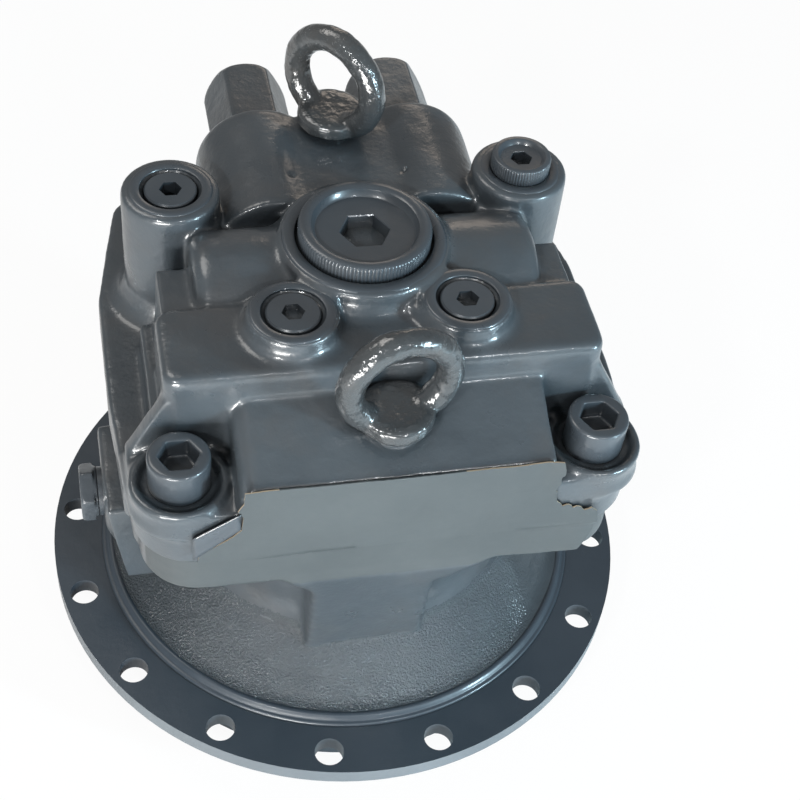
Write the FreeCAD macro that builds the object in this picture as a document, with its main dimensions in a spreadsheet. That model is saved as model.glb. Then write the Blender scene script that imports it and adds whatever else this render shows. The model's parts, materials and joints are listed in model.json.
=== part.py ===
import FreeCAD, Part
import math
import os
import Sketcher
from FreeCAD import Placement, Rotation, Vector

# Hydraulic swing motor: axial piston motor with fixed swash plate and spring-applied parking brake.
# Origin on the mounting face of the flange, shaft along Z, port face towards -Y. Sizes in mm.
os.makedirs("parts", exist_ok=True)
doc = FreeCAD.newDocument("SwingMotor")
sheet = doc.addObject("Spreadsheet::Sheet", "Sizes")

SIZES = [
    # mounting flange and spigot
    ("flange_radius", 167.2), ("flange_thickness", 10.0), ("hole_margin", 12.2), ("hole_radius", 9.0),
    ("spigot_margin", 33.2), ("spigot_depth", 28.0), ("step_margin", 29.7), ("step_rise", 3.5),
    ("seal_recess_radius", 46.0), ("seal_recess_depth", 12.0),
    # motor casing
    ("barrel_radius", 98.0), ("shoulder_z", 46.0), ("joint_z", 148.0), ("upper_flange_thickness", 27.0),
    ("front_reach", 118.0), ("corner_x", 102.0), ("corner_y", 95.0), ("corner_radius", 23.5), ("lower_inset", 3.0),
    ("side_reach", 131.0), ("rear_reach", 130.0), ("rear_half_width", 92.0),
    ("rib_half_width", 32.0), ("rib_reach", 101.0), ("chin_half_width", 55.0), ("chin_drop", 17.0),
    ("pad_reach", 137.0), ("pad_front", 45.0),
    ("pad_width", 62.0), ("pad_low", 40.0), ("pad_height", 60.0),
    ("drain_y", 12.0), ("drain_z", 78.0), ("drain_thread", 8.5), ("drain_hex", 28.0), ("drain_head", 12.0),
    # valve casing
    ("rim_top", 172.0), ("bolt_seat_z", 182.0), ("deck_top", 198.0), ("deck_half_width", 76.0),
    ("deck_slope", 18.0), ("block_top", 230.5), ("block_half_width", 107.0), ("block_front", 76.0),
    ("block_rear", 27.0), ("shelf_top", 225.0), ("shelf_rear", 8.0), ("boss_top", 243.0),
    ("barrel_axis_z", 203.0), ("cross_radius", 37.3), ("cross_left", 86.0), ("cross_right", 88.0),
    ("centre_boss_radius", 43.0), ("makeup_x", 42.5), ("makeup_y", 46.0), ("makeup_boss_radius", 22.5),
    ("makeup_boss_top", 240.0), ("rear_plug_x", 91.0), ("rear_plug_y", 44.0), ("rear_boss_radius", 25.0),
    ("hump_left", 37.0), ("hump_right", 45.0), ("hump_axis_z", 203.0), ("hump_radius", 35.0), ("hump_front", 34.0),
    ("hump_reach", 116.0), ("front_eye_y", 97.5), ("front_eye_seat", 205.5), ("rear_eye_y", 92.0),
    ("eye_pad_radius", 20.0), ("eye_pad_top", 233.0),
    ("port_x", 36.0), ("port_z", 172.0), ("port_radius", 12.5), ("port_depth", 88.0),
    ("port_bolt_long", 52.4), ("port_bolt_short", 26.2), ("port_bolt_radius", 5.0), ("port_bolt_depth", 16.0),
    # fasteners and plugs
    ("bolt_shank", 10.0), ("bolt_head", 15.0), ("bolt_head_height", 20.0), ("bolt_hex", 17.0),
    ("bolt_grip_below", 26.0), ("rear_bolt_shank", 8.0), ("rear_bolt_head", 12.0), ("rear_bolt_head_height", 16.0),
    ("rear_bolt_hex", 14.0), ("rear_bolt_seat_z", 190.0),
    ("plug_radius", 13.3), ("plug_ring_radius", 15.8), ("plug_length", 20.0), ("plug_hex", 10.0),
    ("rear_head_radius", 15.5), ("rear_head_rise", 9.0), ("rear_head_dish", 11.0),
    ("centre_plug_radius", 33.0), ("centre_thread_radius", 30.0), ("centre_rise", 8.0), ("centre_sink", 3.0),
    ("centre_dish_radius", 26.5), ("centre_dish_depth", 3.0), ("centre_length", 30.0), ("centre_hex", 22.0),
    ("eye_ring_radius", 24.5), ("eye_bar_radius", 7.0), ("eye_collar_radius", 17.5), ("eye_collar_height", 6.0),
    ("eye_rise", 31.0), ("eye_shank", 8.0), ("eye_shank_length", 16.0), ("front_eye_turn", 24.0),
    ("rear_eye_turn", -54.0),
    ("relief_thread", 18.0), ("relief_hex", 41.0), ("relief_head", 58.0), ("relief_length", 40.0),
    # rotating group
    ("tilt", 14.0), ("swash_seat_z", 22.0), ("swash_radius", 69.0), ("swash_edge", 8.0), ("swash_bore", 27.0),
    ("ball_circle", 41.0), ("ball_radius", 8.0), ("socket_clearance", 0.4), ("shoe_height", 12.0),
    ("shoe_radius", 12.5), ("shoe_flange", 4.5), ("shoe_head_radius", 10.2), ("shoe_head_top", 2.5),
    ("piston_radius", 11.0), ("bore_clearance", 0.95), ("piston_length", 60.0), ("piston_neck", 5.5),
    ("piston_skirt", 9.0), ("piston_hollow", 6.5), ("retainer_thickness", 4.0), ("guide_radius", 26.0),
    ("block_radius", 60.0), ("block_bottom_z", 80.0), ("bore_roof", 12.0), ("valve_plate_thickness", 4.0),
    ("valve_plate_radius", 58.0), ("kidney_half_width", 5.0), ("cavity_radius", 72.0),
    # shaft and bearings
    ("shaft_radius", 24.0), ("shaft_mid_radius", 20.0), ("shaft_tail_radius", 16.0), ("shaft_end_z", -26.0),
    ("shaft_tail_z", 176.0), ("spline_depth", 2.5), ("spline_count", 16),
    ("main_bearing_radius", 55.0), ("main_bearing_width", 24.0), ("main_roller_radius", 5.5),
    ("rear_bearing_radius", 32.0), ("rear_bearing_width", 20.0), ("rear_roller_radius", 3.2),
    ("ring_wall", 6.0), ("rear_ring_wall", 3.6), ("seal_width", 10.0),
    # parking brake
    ("stack_z", 98.0), ("plate_thickness", 3.0), ("plate_gap", 0.3), ("separator_radius", 77.5),
    ("separator_bore", 63.0), ("friction_radius", 74.0), ("stack_bore_radius", 78.0),
    ("brake_small_radius", 77.7), ("brake_large_radius", 85.7), ("brake_step", 8.0), ("brake_bore", 64.0),
    ("brake_top_gap", 8.0), ("brake_stroke", 2.5), ("brake_bore_large", 86.0),
    ("brake_spring_circle", 71.0), ("brake_spring_radius", 4.6), ("brake_wire", 1.1), ("spring_pocket", 12.0),
    # fits
    ("running_gap", 0.3), ("thread_gap", 0.35), ("film", 0.2), ("washer_thickness", 2.5), ("seal_wire", 1.6),
]

for row, (name, value) in enumerate(SIZES, start=1):
    sheet.set("A%d" % row, name)
    sheet.set("B%d" % row, str(value))
    sheet.setAlias("B%d" % row, name)
doc.recompute()


class Dim:
    """A size: its value and the sheet expression that drives it."""

    def __init__(self, value, text):
        self.value = value
        self.text = text

    def __add__(self, other):
        other = dim(other)
        return Dim(self.value + other.value, "(%s + %s)" % (self.text, other.text))

    def __sub__(self, other):
        other = dim(other)
        return Dim(self.value - other.value, "(%s - %s)" % (self.text, other.text))

    def __mul__(self, other):
        other = dim(other)
        return Dim(self.value * other.value, "(%s * %s)" % (self.text, other.text))

    def __truediv__(self, other):
        other = dim(other)
        return Dim(self.value / other.value, "(%s / %s)" % (self.text, other.text))

    def __neg__(self):
        return Dim(-self.value, "(0 - %s)" % self.text)

    __radd__ = __add__
    __rmul__ = __mul__

    def __rsub__(self, other):
        return dim(other) - self


def dim(value):
    if isinstance(value, Dim):
        return value
    return Dim(float(value), "(%r)" % float(value))


class Sheet:
    """Gives each named size of the sheet as a Dim."""

    def __getattr__(self, name):
        return Dim(float(sheet.get(name)), "Sizes.%s" % name)


z = Sheet()


def sine(angle):
    return Dim(math.sin(math.radians(angle.value)), "sin(%s * 1 deg)" % angle.text)


def cosine(angle):
    return Dim(math.cos(math.radians(angle.value)), "cos(%s * 1 deg)" % angle.text)


def bind(item, prop, size):
    """Sets a property to a size and ties it to the sheet."""
    size = dim(size)
    if "." not in prop:
        setattr(item, prop, size.value)
    item.setExpression(prop, size.text)


def place(item, at, axis="Z", turn=0.0):
    """Puts an object at a point with its own Z along the named axis."""
    turns = {
        "Z": Rotation(),
        "-Z": Rotation(Vector(1, 0, 0), 180),
        "Y": Rotation(Vector(1, 0, 0), -90),
        "-Y": Rotation(Vector(1, 0, 0), 90),
        "X": Rotation(Vector(0, 1, 0), 90),
        "-X": Rotation(Vector(0, 1, 0), -90),
    }
    at = [dim(c) for c in at]
    spot = Vector(*[c.value for c in at])
    item.Placement = Placement(spot, turns[axis] * Rotation(Vector(0, 0, 1), turn))
    for letter, size in zip("xyz", at):
        item.setExpression("Placement.Base.%s" % letter, size.text)


def new_body(label):
    body = doc.addObject("PartDesign::Body", label)
    body.Label = label
    return body


def origin_plane(body, role):
    for item in body.Origin.OriginFeatures:
        if item.Role == role:
            return item
    raise ValueError(role)


def new_sketch(body, name, role, lift=None):
    sketch = body.newObject("Sketcher::SketchObject", name)
    sketch.AttachmentSupport = [(origin_plane(body, role), "")]
    sketch.MapMode = "FlatFace"
    if lift is not None:
        lift = dim(lift)
        sketch.AttachmentOffset = Placement(Vector(0, 0, lift.value), Rotation())
        sketch.setExpression("AttachmentOffset.Base.z", lift.text)
    return sketch


def pin_point(sketch, edge, end, spot):
    """Ties one sketch point to a pair of sizes measured from the sketch origin."""
    for kind, rest, size in (("DistanceX", -2, spot[0]), ("DistanceY", -1, spot[1])):
        size = dim(size)
        if size.text == "(0.0)":
            sketch.addConstraint(Sketcher.Constraint("PointOnObject", edge, end, rest))
        else:
            index = sketch.addConstraint(Sketcher.Constraint(kind, -1, 1, edge, end, size.value))
            sketch.setExpression("Constraints[%d]" % index, size.text)


def draw_chain(sketch, corners):
    """Closed chain of straight lines through the corners."""
    spots = [(dim(a), dim(b)) for a, b in corners]
    count = len(spots)
    first = sketch.GeometryCount
    for i in range(count):
        start, end = spots[i], spots[(i + 1) % count]
        line = Part.LineSegment(Vector(start[0].value, start[1].value, 0), Vector(end[0].value, end[1].value, 0))
        sketch.addGeometry(line, False)
    for i in range(count):
        sketch.addConstraint(Sketcher.Constraint("Coincident", first + i, 2, first + (i + 1) % count, 1))
    for i in range(count):
        pin_point(sketch, first + i, 1, spots[i])


def draw_circle(sketch, centre, radius):
    a, b, radius = dim(centre[0]), dim(centre[1]), dim(radius)
    index = sketch.addGeometry(Part.Circle(Vector(a.value, b.value, 0), Vector(0, 0, 1), radius.value), False)
    pin_point(sketch, index, 3, (a, b))
    size = sketch.addConstraint(Sketcher.Constraint("Radius", index, radius.value))
    sketch.setExpression("Constraints[%d]" % size, radius.text)


def revolve(body, name, corners, cut=False):
    """Turned form: a closed profile (radius, height) about the Z axis of its body."""
    sketch = new_sketch(body, name + "_profile", "XZ_Plane")
    draw_chain(sketch, corners)
    kind = "PartDesign::Groove" if cut else "PartDesign::Revolution"
    item = body.newObject(kind, name)
    item.Profile = sketch
    item.ReferenceAxis = (sketch, ["V_Axis"])
    item.Angle = 360
    return item


def pad(body, name, corners, low, height, taper=0.0):
    """Prism of a plan outline from a height upwards, with the casting draft."""
    sketch = new_sketch(body, name + "_outline", "XY_Plane", low)
    draw_chain(sketch, corners)
    item = body.newObject("PartDesign::Pad", name)
    item.Profile = sketch
    bind(item, "Length", height)
    item.TaperAngle = -taper
    return item


def side_pad(body, name, corners, start, length, cut=False):
    """Prism of a side profile (y, z) that runs along X from a start."""
    sketch = new_sketch(body, name + "_profile", "YZ_Plane", start)
    draw_chain(sketch, corners)
    item = body.newObject("PartDesign::Pocket" if cut else "PartDesign::Pad", name)
    item.Profile = sketch
    bind(item, "Length", length)
    return item


def front_pad(body, name, corners, start, length):
    """Prism of a front profile (x, z) that runs towards -Y from a start given as -y."""
    sketch = new_sketch(body, name + "_profile", "XZ_Plane", start)
    draw_chain(sketch, corners)
    item = body.newObject("PartDesign::Pad", name)
    item.Profile = sketch
    bind(item, "Length", length)
    return item


def loft(body, name, sections):
    """Straight loft through plan outlines, each a pair of corners and height."""
    sketches = []
    for index, (corners, level) in enumerate(sections):
        sketch = new_sketch(body, "%s_section_%d" % (name, index + 1), "XY_Plane", level)
        draw_chain(sketch, corners)
        sketches.append(sketch)
    item = body.newObject("PartDesign::AdditiveLoft", name)
    item.Profile = sketches[0]
    item.Sections = sketches[1:]
    item.Ruled = True
    return item


def join(body, name, other):
    """Takes another body into this one."""
    item = body.newObject("PartDesign::Boolean", name)
    item.Type = "Fuse"
    item.setObjects([other])
    doc.recompute()
    return item


def round_edges(body, name, radius, wanted):
    """Fillet on the edges of the last feature that the test picks."""
    doc.recompute()
    base = body.Tip
    picked = ["Edge%d" % (i + 1) for i, edge in enumerate(base.Shape.Edges) if wanted(edge)]
    if not picked:
        raise ValueError("no edge for %s" % name)
    item = body.newObject("PartDesign::Fillet", name)
    item.Base = (base, picked)
    bind(item, "Radius", radius)
    doc.recompute()
    return item


def add_solid(body, name, kind, sizes, at, axis="Z", turn=0.0):
    item = body.newObject("PartDesign::%s" % kind, name)
    item.Refine = False
    for prop, size in sizes.items():
        bind(item, prop, size)
    place(item, at, axis, turn)
    return item


def boss(body, name, radius, height, at, axis="Z"):
    return add_solid(body, name, "AdditiveCylinder", {"Radius": radius, "Height": height}, at, axis)


def bore(body, name, radius, depth, at, axis="Z"):
    return add_solid(body, name, "SubtractiveCylinder", {"Radius": radius, "Height": depth}, at, axis)


def hex_cut(body, name, across, depth, at, axis="Z"):
    radius = dim(across) / math.sqrt(3.0)
    sizes = {"Circumradius": radius, "Height": depth}
    return add_solid(body, name, "SubtractivePrism", sizes, at, axis)


def polar(body, name, feature, count):
    """Copies a feature round the Z axis of its body."""
    item = body.newObject("PartDesign::PolarPattern", name)
    item.Originals = [feature]
    for axis in body.Origin.OriginFeatures:
        if axis.Role == "Z_Axis":
            item.Axis = (axis, [""])
    item.Angle = 360
    item.Occurrences = int(count)
    body.Tip = item
    doc.recompute()
    return item


def feature(label, shape, spot=Vector(0, 0, 0)):
    item = doc.addObject("Part::Feature", label)
    item.Label = label
    item.Shape = shape
    item.Placement = Placement(spot, Rotation())
    return item


def is_vertical(edge):
    if len(edge.Vertexes) != 2:
        return False
    a, b = edge.Vertexes[0].Point, edge.Vertexes[1].Point
    return abs(a.x - b.x) < 0.35 * abs(a.z - b.z) and abs(a.y - b.y) < 0.35 * abs(a.z - b.z)




def turned(label, corners, at=(0, 0, 0), axis="Z"):
    """One turned piece in its own body: profile (radius, height)."""
    body = new_body(label)
    revolve(body, "turned", corners)
    place(body, at, axis)
    return body


def block_profile(inner, outer, low, high):
    return [(inner, low), (outer, low), (outer, high), (inner, high)]


# heights that follow from the sizes
joint = z.joint_z
spigot_low = -z.spigot_depth
seal_low = spigot_low + z.seal_recess_depth
seal_high = seal_low + z.seal_width
bearing_low = z.swash_seat_z - z.main_bearing_width - 2
slant = z.swash_radius * sine(z.tilt) / cosine(z.tilt)
swash_centre = z.swash_seat_z + z.swash_edge + slant
ball_centre = swash_centre + (z.shoe_height + z.film) / cosine(z.tilt)
block_top = joint - z.valve_plate_thickness - z.film
bore_circle = z.ball_circle * (1 + cosine(z.tilt)) / 2
stack_pitch = z.plate_thickness + z.plate_gap
stack_high = z.stack_z + 7 * stack_pitch
brake_high = joint - z.brake_top_gap
brake_ledge = brake_high - z.brake_step - 1
flange_low = joint - z.upper_flange_thickness
rear_bearing_low = joint + 3
rear_bearing_high = rear_bearing_low + z.rear_bearing_width
main_pitch = z.main_bearing_radius - z.ring_wall - z.main_roller_radius - z.running_gap
main_inner = main_pitch - z.main_roller_radius - z.running_gap
rear_pitch = z.rear_bearing_radius - z.rear_ring_wall - z.rear_roller_radius - z.running_gap
rear_inner = rear_pitch - z.rear_roller_radius - z.running_gap
oring_radius = z.brake_bore_large + 3.4
hole_circle = z.flange_radius - z.hole_margin
spigot_radius = z.flange_radius - z.spigot_margin
step_radius = z.flange_radius - z.step_margin
port_side = [(-z.hump_left, "left"), (z.hump_right, "right")]

CORNERS = [(-1, "left"), (1, "right")]


def casing_outline(inset=0.0):
    """Plan of the joint between the two castings: four lobes with bulging sides."""
    front = z.corner_x + z.corner_radius - inset
    half = [
        (front, -z.front_reach - 0.5 + inset),
        (z.side_reach - inset, -30),
        (z.side_reach - inset, 42),
        (z.rear_half_width + 25 - inset, z.rear_reach - 14),
        (z.rear_half_width - inset, z.rear_reach - inset),
    ]
    return half + [(-dim(a), b) for a, b in reversed(half)]


def lower_ring(front, side, rear):
    """Plan with the same ten corners on the barrel, for the loft below the joint."""
    half = [(front, -front), (side, -side * 0.3), (side, side * 0.35), (rear, rear), (rear * 0.7, rear * 1.15)]
    return half + [(-dim(a), b) for a, b in reversed(half)]


def near(edge, x, y, reach):
    point = edge.CenterOfMass
    return abs(abs(point.x) - x) < reach and abs(point.y - y) < reach


def build_motor_casing():
    body = new_body("motor_casing")
    step_top = z.flange_thickness + z.step_rise
    revolve(body, "shell", [
        (0, spigot_low), (spigot_radius, spigot_low), (spigot_radius, 0), (z.flange_radius, 0),
        (z.flange_radius, z.flange_thickness), (step_radius, z.flange_thickness),
        (step_radius - 1.0, step_top), (step_radius - 4, step_top + 1), (step_radius - 9, step_top + 2),
        (z.barrel_radius + 22, z.shoulder_z - 22), (z.barrel_radius + 12, z.shoulder_z - 14),
        (z.barrel_radius + 5, z.shoulder_z - 6), (z.barrel_radius, z.shoulder_z + 4),
        (z.barrel_radius, joint), (0, joint),
    ])
    inset = z.lower_inset
    reach = z.corner_x + z.corner_radius - inset
    pad(body, "upper_flange", casing_outline(inset), flange_low, z.upper_flange_thickness)
    round_edges(body, "lobe_round", z.corner_radius - inset, lambda e: is_vertical(e) and near(
        e, reach.value, -z.front_reach.value, 4))
    round_edges(body, "side_round", 22, lambda e: is_vertical(e) and (
        near(e, z.side_reach.value - 3, -30, 4) or near(e, z.side_reach.value - 3, 42, 4)))
    round_edges(body, "rear_round", 14, lambda e: is_vertical(e) and e.CenterOfMass.y > 100)
    loft(body, "neck", [
        (lower_ring(z.barrel_radius * 0.70, z.barrel_radius, z.barrel_radius * 0.72), flange_low - 40),
        (lower_ring(z.barrel_radius + 6, z.side_reach - 12, z.barrel_radius), flange_low + 0.5),
    ])
    rib = z.rib_half_width
    inner = z.barrel_radius - 38
    foot = z.shoulder_z - 14
    wide = z.chin_half_width
    low = flange_low - z.chin_drop
    loft(body, "front_rib", [
        ([(-rib, -z.rib_reach), (rib, -z.rib_reach), (rib, -inner), (-rib, -inner)], foot),
        ([(-rib - 2, -z.front_reach + 4), (rib + 2, -z.front_reach + 4), (rib + 2, -inner), (-rib - 2, -inner)], low),
        ([(-wide, -z.front_reach + 1), (wide, -z.front_reach + 1), (wide, -inner), (-wide, -inner)], flange_low + 1),
    ])
    front_pad(body, "side_pad", [
        (-z.pad_reach, z.pad_low + z.pad_height), (-inner, z.pad_low + z.pad_height), (-inner, z.pad_low),
        (-z.pad_reach + 8, z.pad_low), (-z.pad_reach, z.pad_low + 21),
    ], z.pad_front - z.pad_width, z.pad_width)
    revolve(body, "cavity", [
        (0, spigot_low), (z.seal_recess_radius, spigot_low), (z.seal_recess_radius, seal_low),
        (z.seal_recess_radius - 8, seal_low), (z.seal_recess_radius - 8, seal_high),
        (z.shaft_radius + 6, seal_high), (z.shaft_radius + 6, bearing_low), (z.main_bearing_radius, bearing_low),
        (z.main_bearing_radius, z.swash_seat_z), (z.cavity_radius, z.swash_seat_z), (z.cavity_radius, z.stack_z),
        (z.stack_bore_radius, z.stack_z), (z.stack_bore_radius, brake_ledge), (z.brake_bore_large, brake_ledge),
        (z.brake_bore_large, joint), (0, joint),
    ], cut=True)
    revolve(body, "oring_groove", block_profile(
        oring_radius - z.seal_wire, oring_radius + z.seal_wire, joint - 2 * z.seal_wire, joint), cut=True)
    start = 360.0 / 32
    hole = bore(body, "flange_hole", z.hole_radius, z.flange_thickness + 4, (
        hole_circle * cosine(dim(start)), hole_circle * sine(dim(start)), -2))
    polar(body, "flange_holes", hole, 16)
    for side, name in CORNERS:
        bore(body, "front_thread_" + name, z.bolt_shank + 0.15, z.bolt_grip_below + 1, (
            side * z.corner_x, -z.corner_y, joint - z.bolt_grip_below - 1))
        bore(body, "rear_thread_" + name, z.rear_bolt_shank + 0.15, z.bolt_grip_below - 2, (
            side * z.rear_plug_x, z.rear_plug_y, joint - z.bolt_grip_below + 2))
        bore(body, "dowel_hole_" + name, 5.15, 11, (side * (z.side_reach - 19), 10, joint - 11))
    bore(body, "drain_hole", z.drain_thread + 0.15, z.pad_reach - z.cavity_radius + 2, (
        -z.pad_reach, -z.drain_y, z.drain_z), "X")
    return body


def build_block():
    """Front block over the port deck, with its rounded edges."""
    body = new_body("front_block")
    wide = z.block_half_width
    side_pad(body, "block", [
        (-z.block_front - 3, joint + 2), (-z.block_rear, joint + 2), (-z.block_rear, z.block_top),
        (-z.block_front, z.block_top),
    ], -wide, 2 * wide)
    round_edges(body, "block_round", 8, lambda e: is_vertical(e))
    round_edges(body, "block_top_round", 4, lambda e: e.CenterOfMass.z > z.block_top.value - 0.01)
    return body


def build_cross_barrel():
    body = new_body("cross_barrel")
    boss(body, "barrel", z.cross_radius, z.cross_left + z.cross_right, (-z.cross_left, 0, z.barrel_axis_z), "X")
    round_edges(body, "barrel_round", 8, lambda e: len(e.Vertexes) == 1)
    return body


def build_hump(side, name):
    """Barrel of one relief valve."""
    body = new_body("hump_" + name)
    boss(body, "barrel", z.hump_radius, z.hump_reach - z.hump_front, (side, z.hump_front, z.hump_axis_z), "Y")
    round_edges(body, "barrel_round", 9, lambda e: len(e.Vertexes) == 1 and e.CenterOfMass.y > z.hump_front.value + 1)
    return body


def build_valve_casing():
    parts = [build_block(), build_cross_barrel()] + [build_hump(side, name) for side, name in port_side]
    body = new_body("valve_casing")
    rim = z.rim_top - joint
    pad(body, "rim", casing_outline(), joint, rim)
    round_edges(body, "lobe_round", z.corner_radius, lambda e: is_vertical(e) and near(
        e, z.corner_x.value + z.corner_radius.value, -z.front_reach.value, 3))
    round_edges(body, "side_round", 22, lambda e: is_vertical(e) and (
        near(e, z.side_reach.value, -30, 4) or near(e, z.side_reach.value, 42, 4)))
    round_edges(body, "rear_round", 14, lambda e: is_vertical(e) and e.CenterOfMass.y > 100)
    for other in parts:
        join(body, "join_" + other.Label, other)
    deck = z.deck_half_width
    side_pad(body, "port_deck", [
        (-z.front_reach - 0.5, joint + 2), (-z.front_reach - 0.5, z.deck_top),
        (-z.block_front + 1, z.deck_top + z.deck_slope), (-50, z.deck_top + z.deck_slope), (-50, joint + 2),
    ], -deck, 2 * deck)
    wide = z.block_half_width - 1.5
    pad(body, "shelf", [
        (-wide, -50), (wide, -50), (wide, z.shelf_rear), (-wide, z.shelf_rear),
    ], joint + 2, z.shelf_top - joint - 2, taper=2)
    left, right = -z.hump_left - z.hump_radius, z.hump_right + z.hump_radius
    pad(body, "rear_block", [
        (left + 1, z.hump_front), (right - 1, z.hump_front), (right - 1, z.hump_reach - 3),
        (left + 1, z.hump_reach - 3),
    ], joint + 2, z.hump_axis_z - joint - 2)
    pad(body, "plateau", [
        (-z.hump_left, z.hump_front), (z.hump_right, z.hump_front), (z.hump_right, z.hump_reach - 9),
        (-z.hump_left, z.hump_reach - 9),
    ], z.rim_top, z.eye_pad_top - 0.5 - z.rim_top)
    boss(body, "centre_boss", z.centre_boss_radius, z.boss_top - z.rim_top, (0, 0, z.rim_top))
    boss(body, "rear_eye_pad", z.eye_pad_radius, z.eye_pad_top - z.rim_top, (0, z.rear_eye_y, z.rim_top))
    boss(body, "front_eye_pad", z.eye_pad_radius, z.front_eye_seat - z.rim_top, (0, -z.front_eye_y, z.rim_top))
    pad(body, "casting_rib", [(9, -34), (16, -30), (31, -54), (25, -60)], z.rim_top, z.block_top + 5 - z.rim_top)
    for side, name in CORNERS:
        boss(body, "corner_boss_" + name, z.corner_radius, z.bolt_seat_z - joint - 2, (
            side * z.corner_x, -z.corner_y, joint + 2))
        outer, inner = z.corner_x + z.corner_radius, z.deck_half_width - 3
        pad(body, "corner_floor_" + name, [
            (side * inner, -z.front_reach - 0.5), (side * z.corner_x, -z.front_reach - 0.5),
            (side * outer, -z.corner_y), (side * outer, -z.block_front + 10), (side * inner, -z.block_front + 10),
        ], joint + 2, z.bolt_seat_z - joint - 2)
        front_pad(body, "corner_web_" + name, [
            (side * (z.block_half_width - 3), z.rim_top), (side * (outer - 1), z.rim_top),
            (side * (outer - 1), z.bolt_seat_z), (side * z.block_half_width, z.block_top - 15),
            (side * (z.block_half_width - 3), z.block_top - 15),
        ], z.block_front - 10, 9)
        boss(body, "rear_boss_" + name, z.rear_boss_radius, z.boss_top - joint - 2, (
            side * z.rear_plug_x, z.rear_plug_y, joint + 2))
        boss(body, "makeup_boss_" + name, z.makeup_boss_radius, z.makeup_boss_top - z.rim_top, (
            side * z.makeup_x, -z.makeup_y, z.rim_top))
    round_edges(body, "boss_round", 2.4, lambda e: len(e.Vertexes) == 1 and e.CenterOfMass.z > z.boss_top.value - 0.01)
    for side, name in CORNERS:
        low = z.bolt_seat_z - joint + 2
        bore(body, "front_bolt_hole_" + name, z.bolt_shank + 0.15, low, (
            side * z.corner_x, -z.corner_y, joint - 1))
        rear = (side * z.rear_plug_x, z.rear_plug_y)
        bore(body, "rear_bolt_hole_" + name, z.rear_bolt_shank + 0.15, z.boss_top - joint, (*rear, joint - 1))
        bore(body, "rear_well_" + name, z.plug_radius + 0.15, z.boss_top - z.rear_bolt_seat_z + 1, (
            *rear, z.rear_bolt_seat_z))
        bore(body, "rear_seat_" + name, z.plug_ring_radius, 4, (*rear, z.boss_top - 2.5))
        makeup = (side * z.makeup_x, -z.makeup_y)
        makeup_low = z.makeup_boss_top - 46
        bore(body, "makeup_well_" + name, z.plug_radius + 0.15, 47, (*makeup, makeup_low))
        bore(body, "makeup_seat_" + name, z.plug_ring_radius, 4, (*makeup, z.makeup_boss_top - 2.5))
        bore(body, "makeup_duct_" + name, 8, 20, (*makeup, makeup_low - 14))
        bore(body, "dowel_hole_" + name, 5.15, 11, (side * (z.side_reach - 19), 10, joint))
        port = (side * z.port_x, -z.front_reach - 1, z.port_z)
        bore(body, "port_" + name, z.port_radius, z.port_depth + 1, port, "Y")
        for across in (-1, 1):
            for up in (-1, 1):
                spot = (side * z.port_x + across * z.port_bolt_long / 2, -z.front_reach - 1,
                        z.port_z + up * z.port_bolt_short / 2)
                label = "port_thread_%s_%d%d" % (name, across + 1, up + 1)
                bore(body, label, z.port_bolt_radius, z.port_bolt_depth + 1, spot, "Y")
                kidney = new_sketch(body, "kidney_profile_" + name, "XZ_Plane")
        radius = z.ball_circle
        draw_chain(kidney, [(side * (radius - z.kidney_half_width), joint - 1),
                            (side * (radius + z.kidney_half_width), joint - 1),
                            (side * (radius + z.kidney_half_width), z.port_z),
                            (side * (radius - z.kidney_half_width), z.port_z)])
        cut = body.newObject("PartDesign::Groove", "kidney_" + name)
        cut.Profile = kidney
        cut.ReferenceAxis = (kidney, ["V_Axis"])
        cut.Angle = 100
        cut.Midplane = True
    revolve(body, "bearing_bore", [
        (0, joint - 1), (z.rear_bearing_radius, joint - 1), (z.rear_bearing_radius, rear_bearing_high),
        (z.rear_bearing_radius - 8, rear_bearing_high), (z.rear_bearing_radius - 8, z.boss_top - z.centre_length),
        (z.centre_thread_radius + 0.15, z.boss_top - z.centre_length),
        (z.centre_thread_radius + 0.15, z.boss_top - z.centre_sink),
        (z.centre_plug_radius + 2, z.boss_top - z.centre_sink), (z.centre_plug_radius + 2, z.boss_top + 1),
        (0, z.boss_top + 1),
    ], cut=True)
    for side, name in port_side:
        bore(body, "relief_bore_" + name, z.relief_thread + z.thread_gap, z.relief_length + 2, (
            side, z.hump_reach + 1, z.hump_axis_z), "-Y")
    bore(body, "front_eye_seat", z.eye_pad_radius, 20, (0, -z.front_eye_y, z.front_eye_seat))
    bore(body, "front_eye_hole", z.eye_shank + 0.15, z.eye_shank_length + 1, (
        0, -z.front_eye_y, z.front_eye_seat - z.eye_shank_length), "Z")
    bore(body, "rear_eye_hole", z.eye_shank + 0.15, z.eye_shank_length + 1, (
        0, z.rear_eye_y, z.eye_pad_top - z.eye_shank_length), "Z")
    return body


def tilted(height, radius, degrees):
    """Point on a circle about the swash normal: height along the normal from the ball centre plane."""
    tilt = math.radians(z.tilt.value)
    normal = Vector(0, math.sin(tilt), math.cos(tilt))
    across = Vector(1, 0, 0)
    along = normal.cross(across)
    turn = math.radians(degrees)
    centre = Vector(0, 0, ball_centre.value)
    return centre + normal * height + across * (radius * math.cos(turn)) + along * (radius * math.sin(turn))


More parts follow.
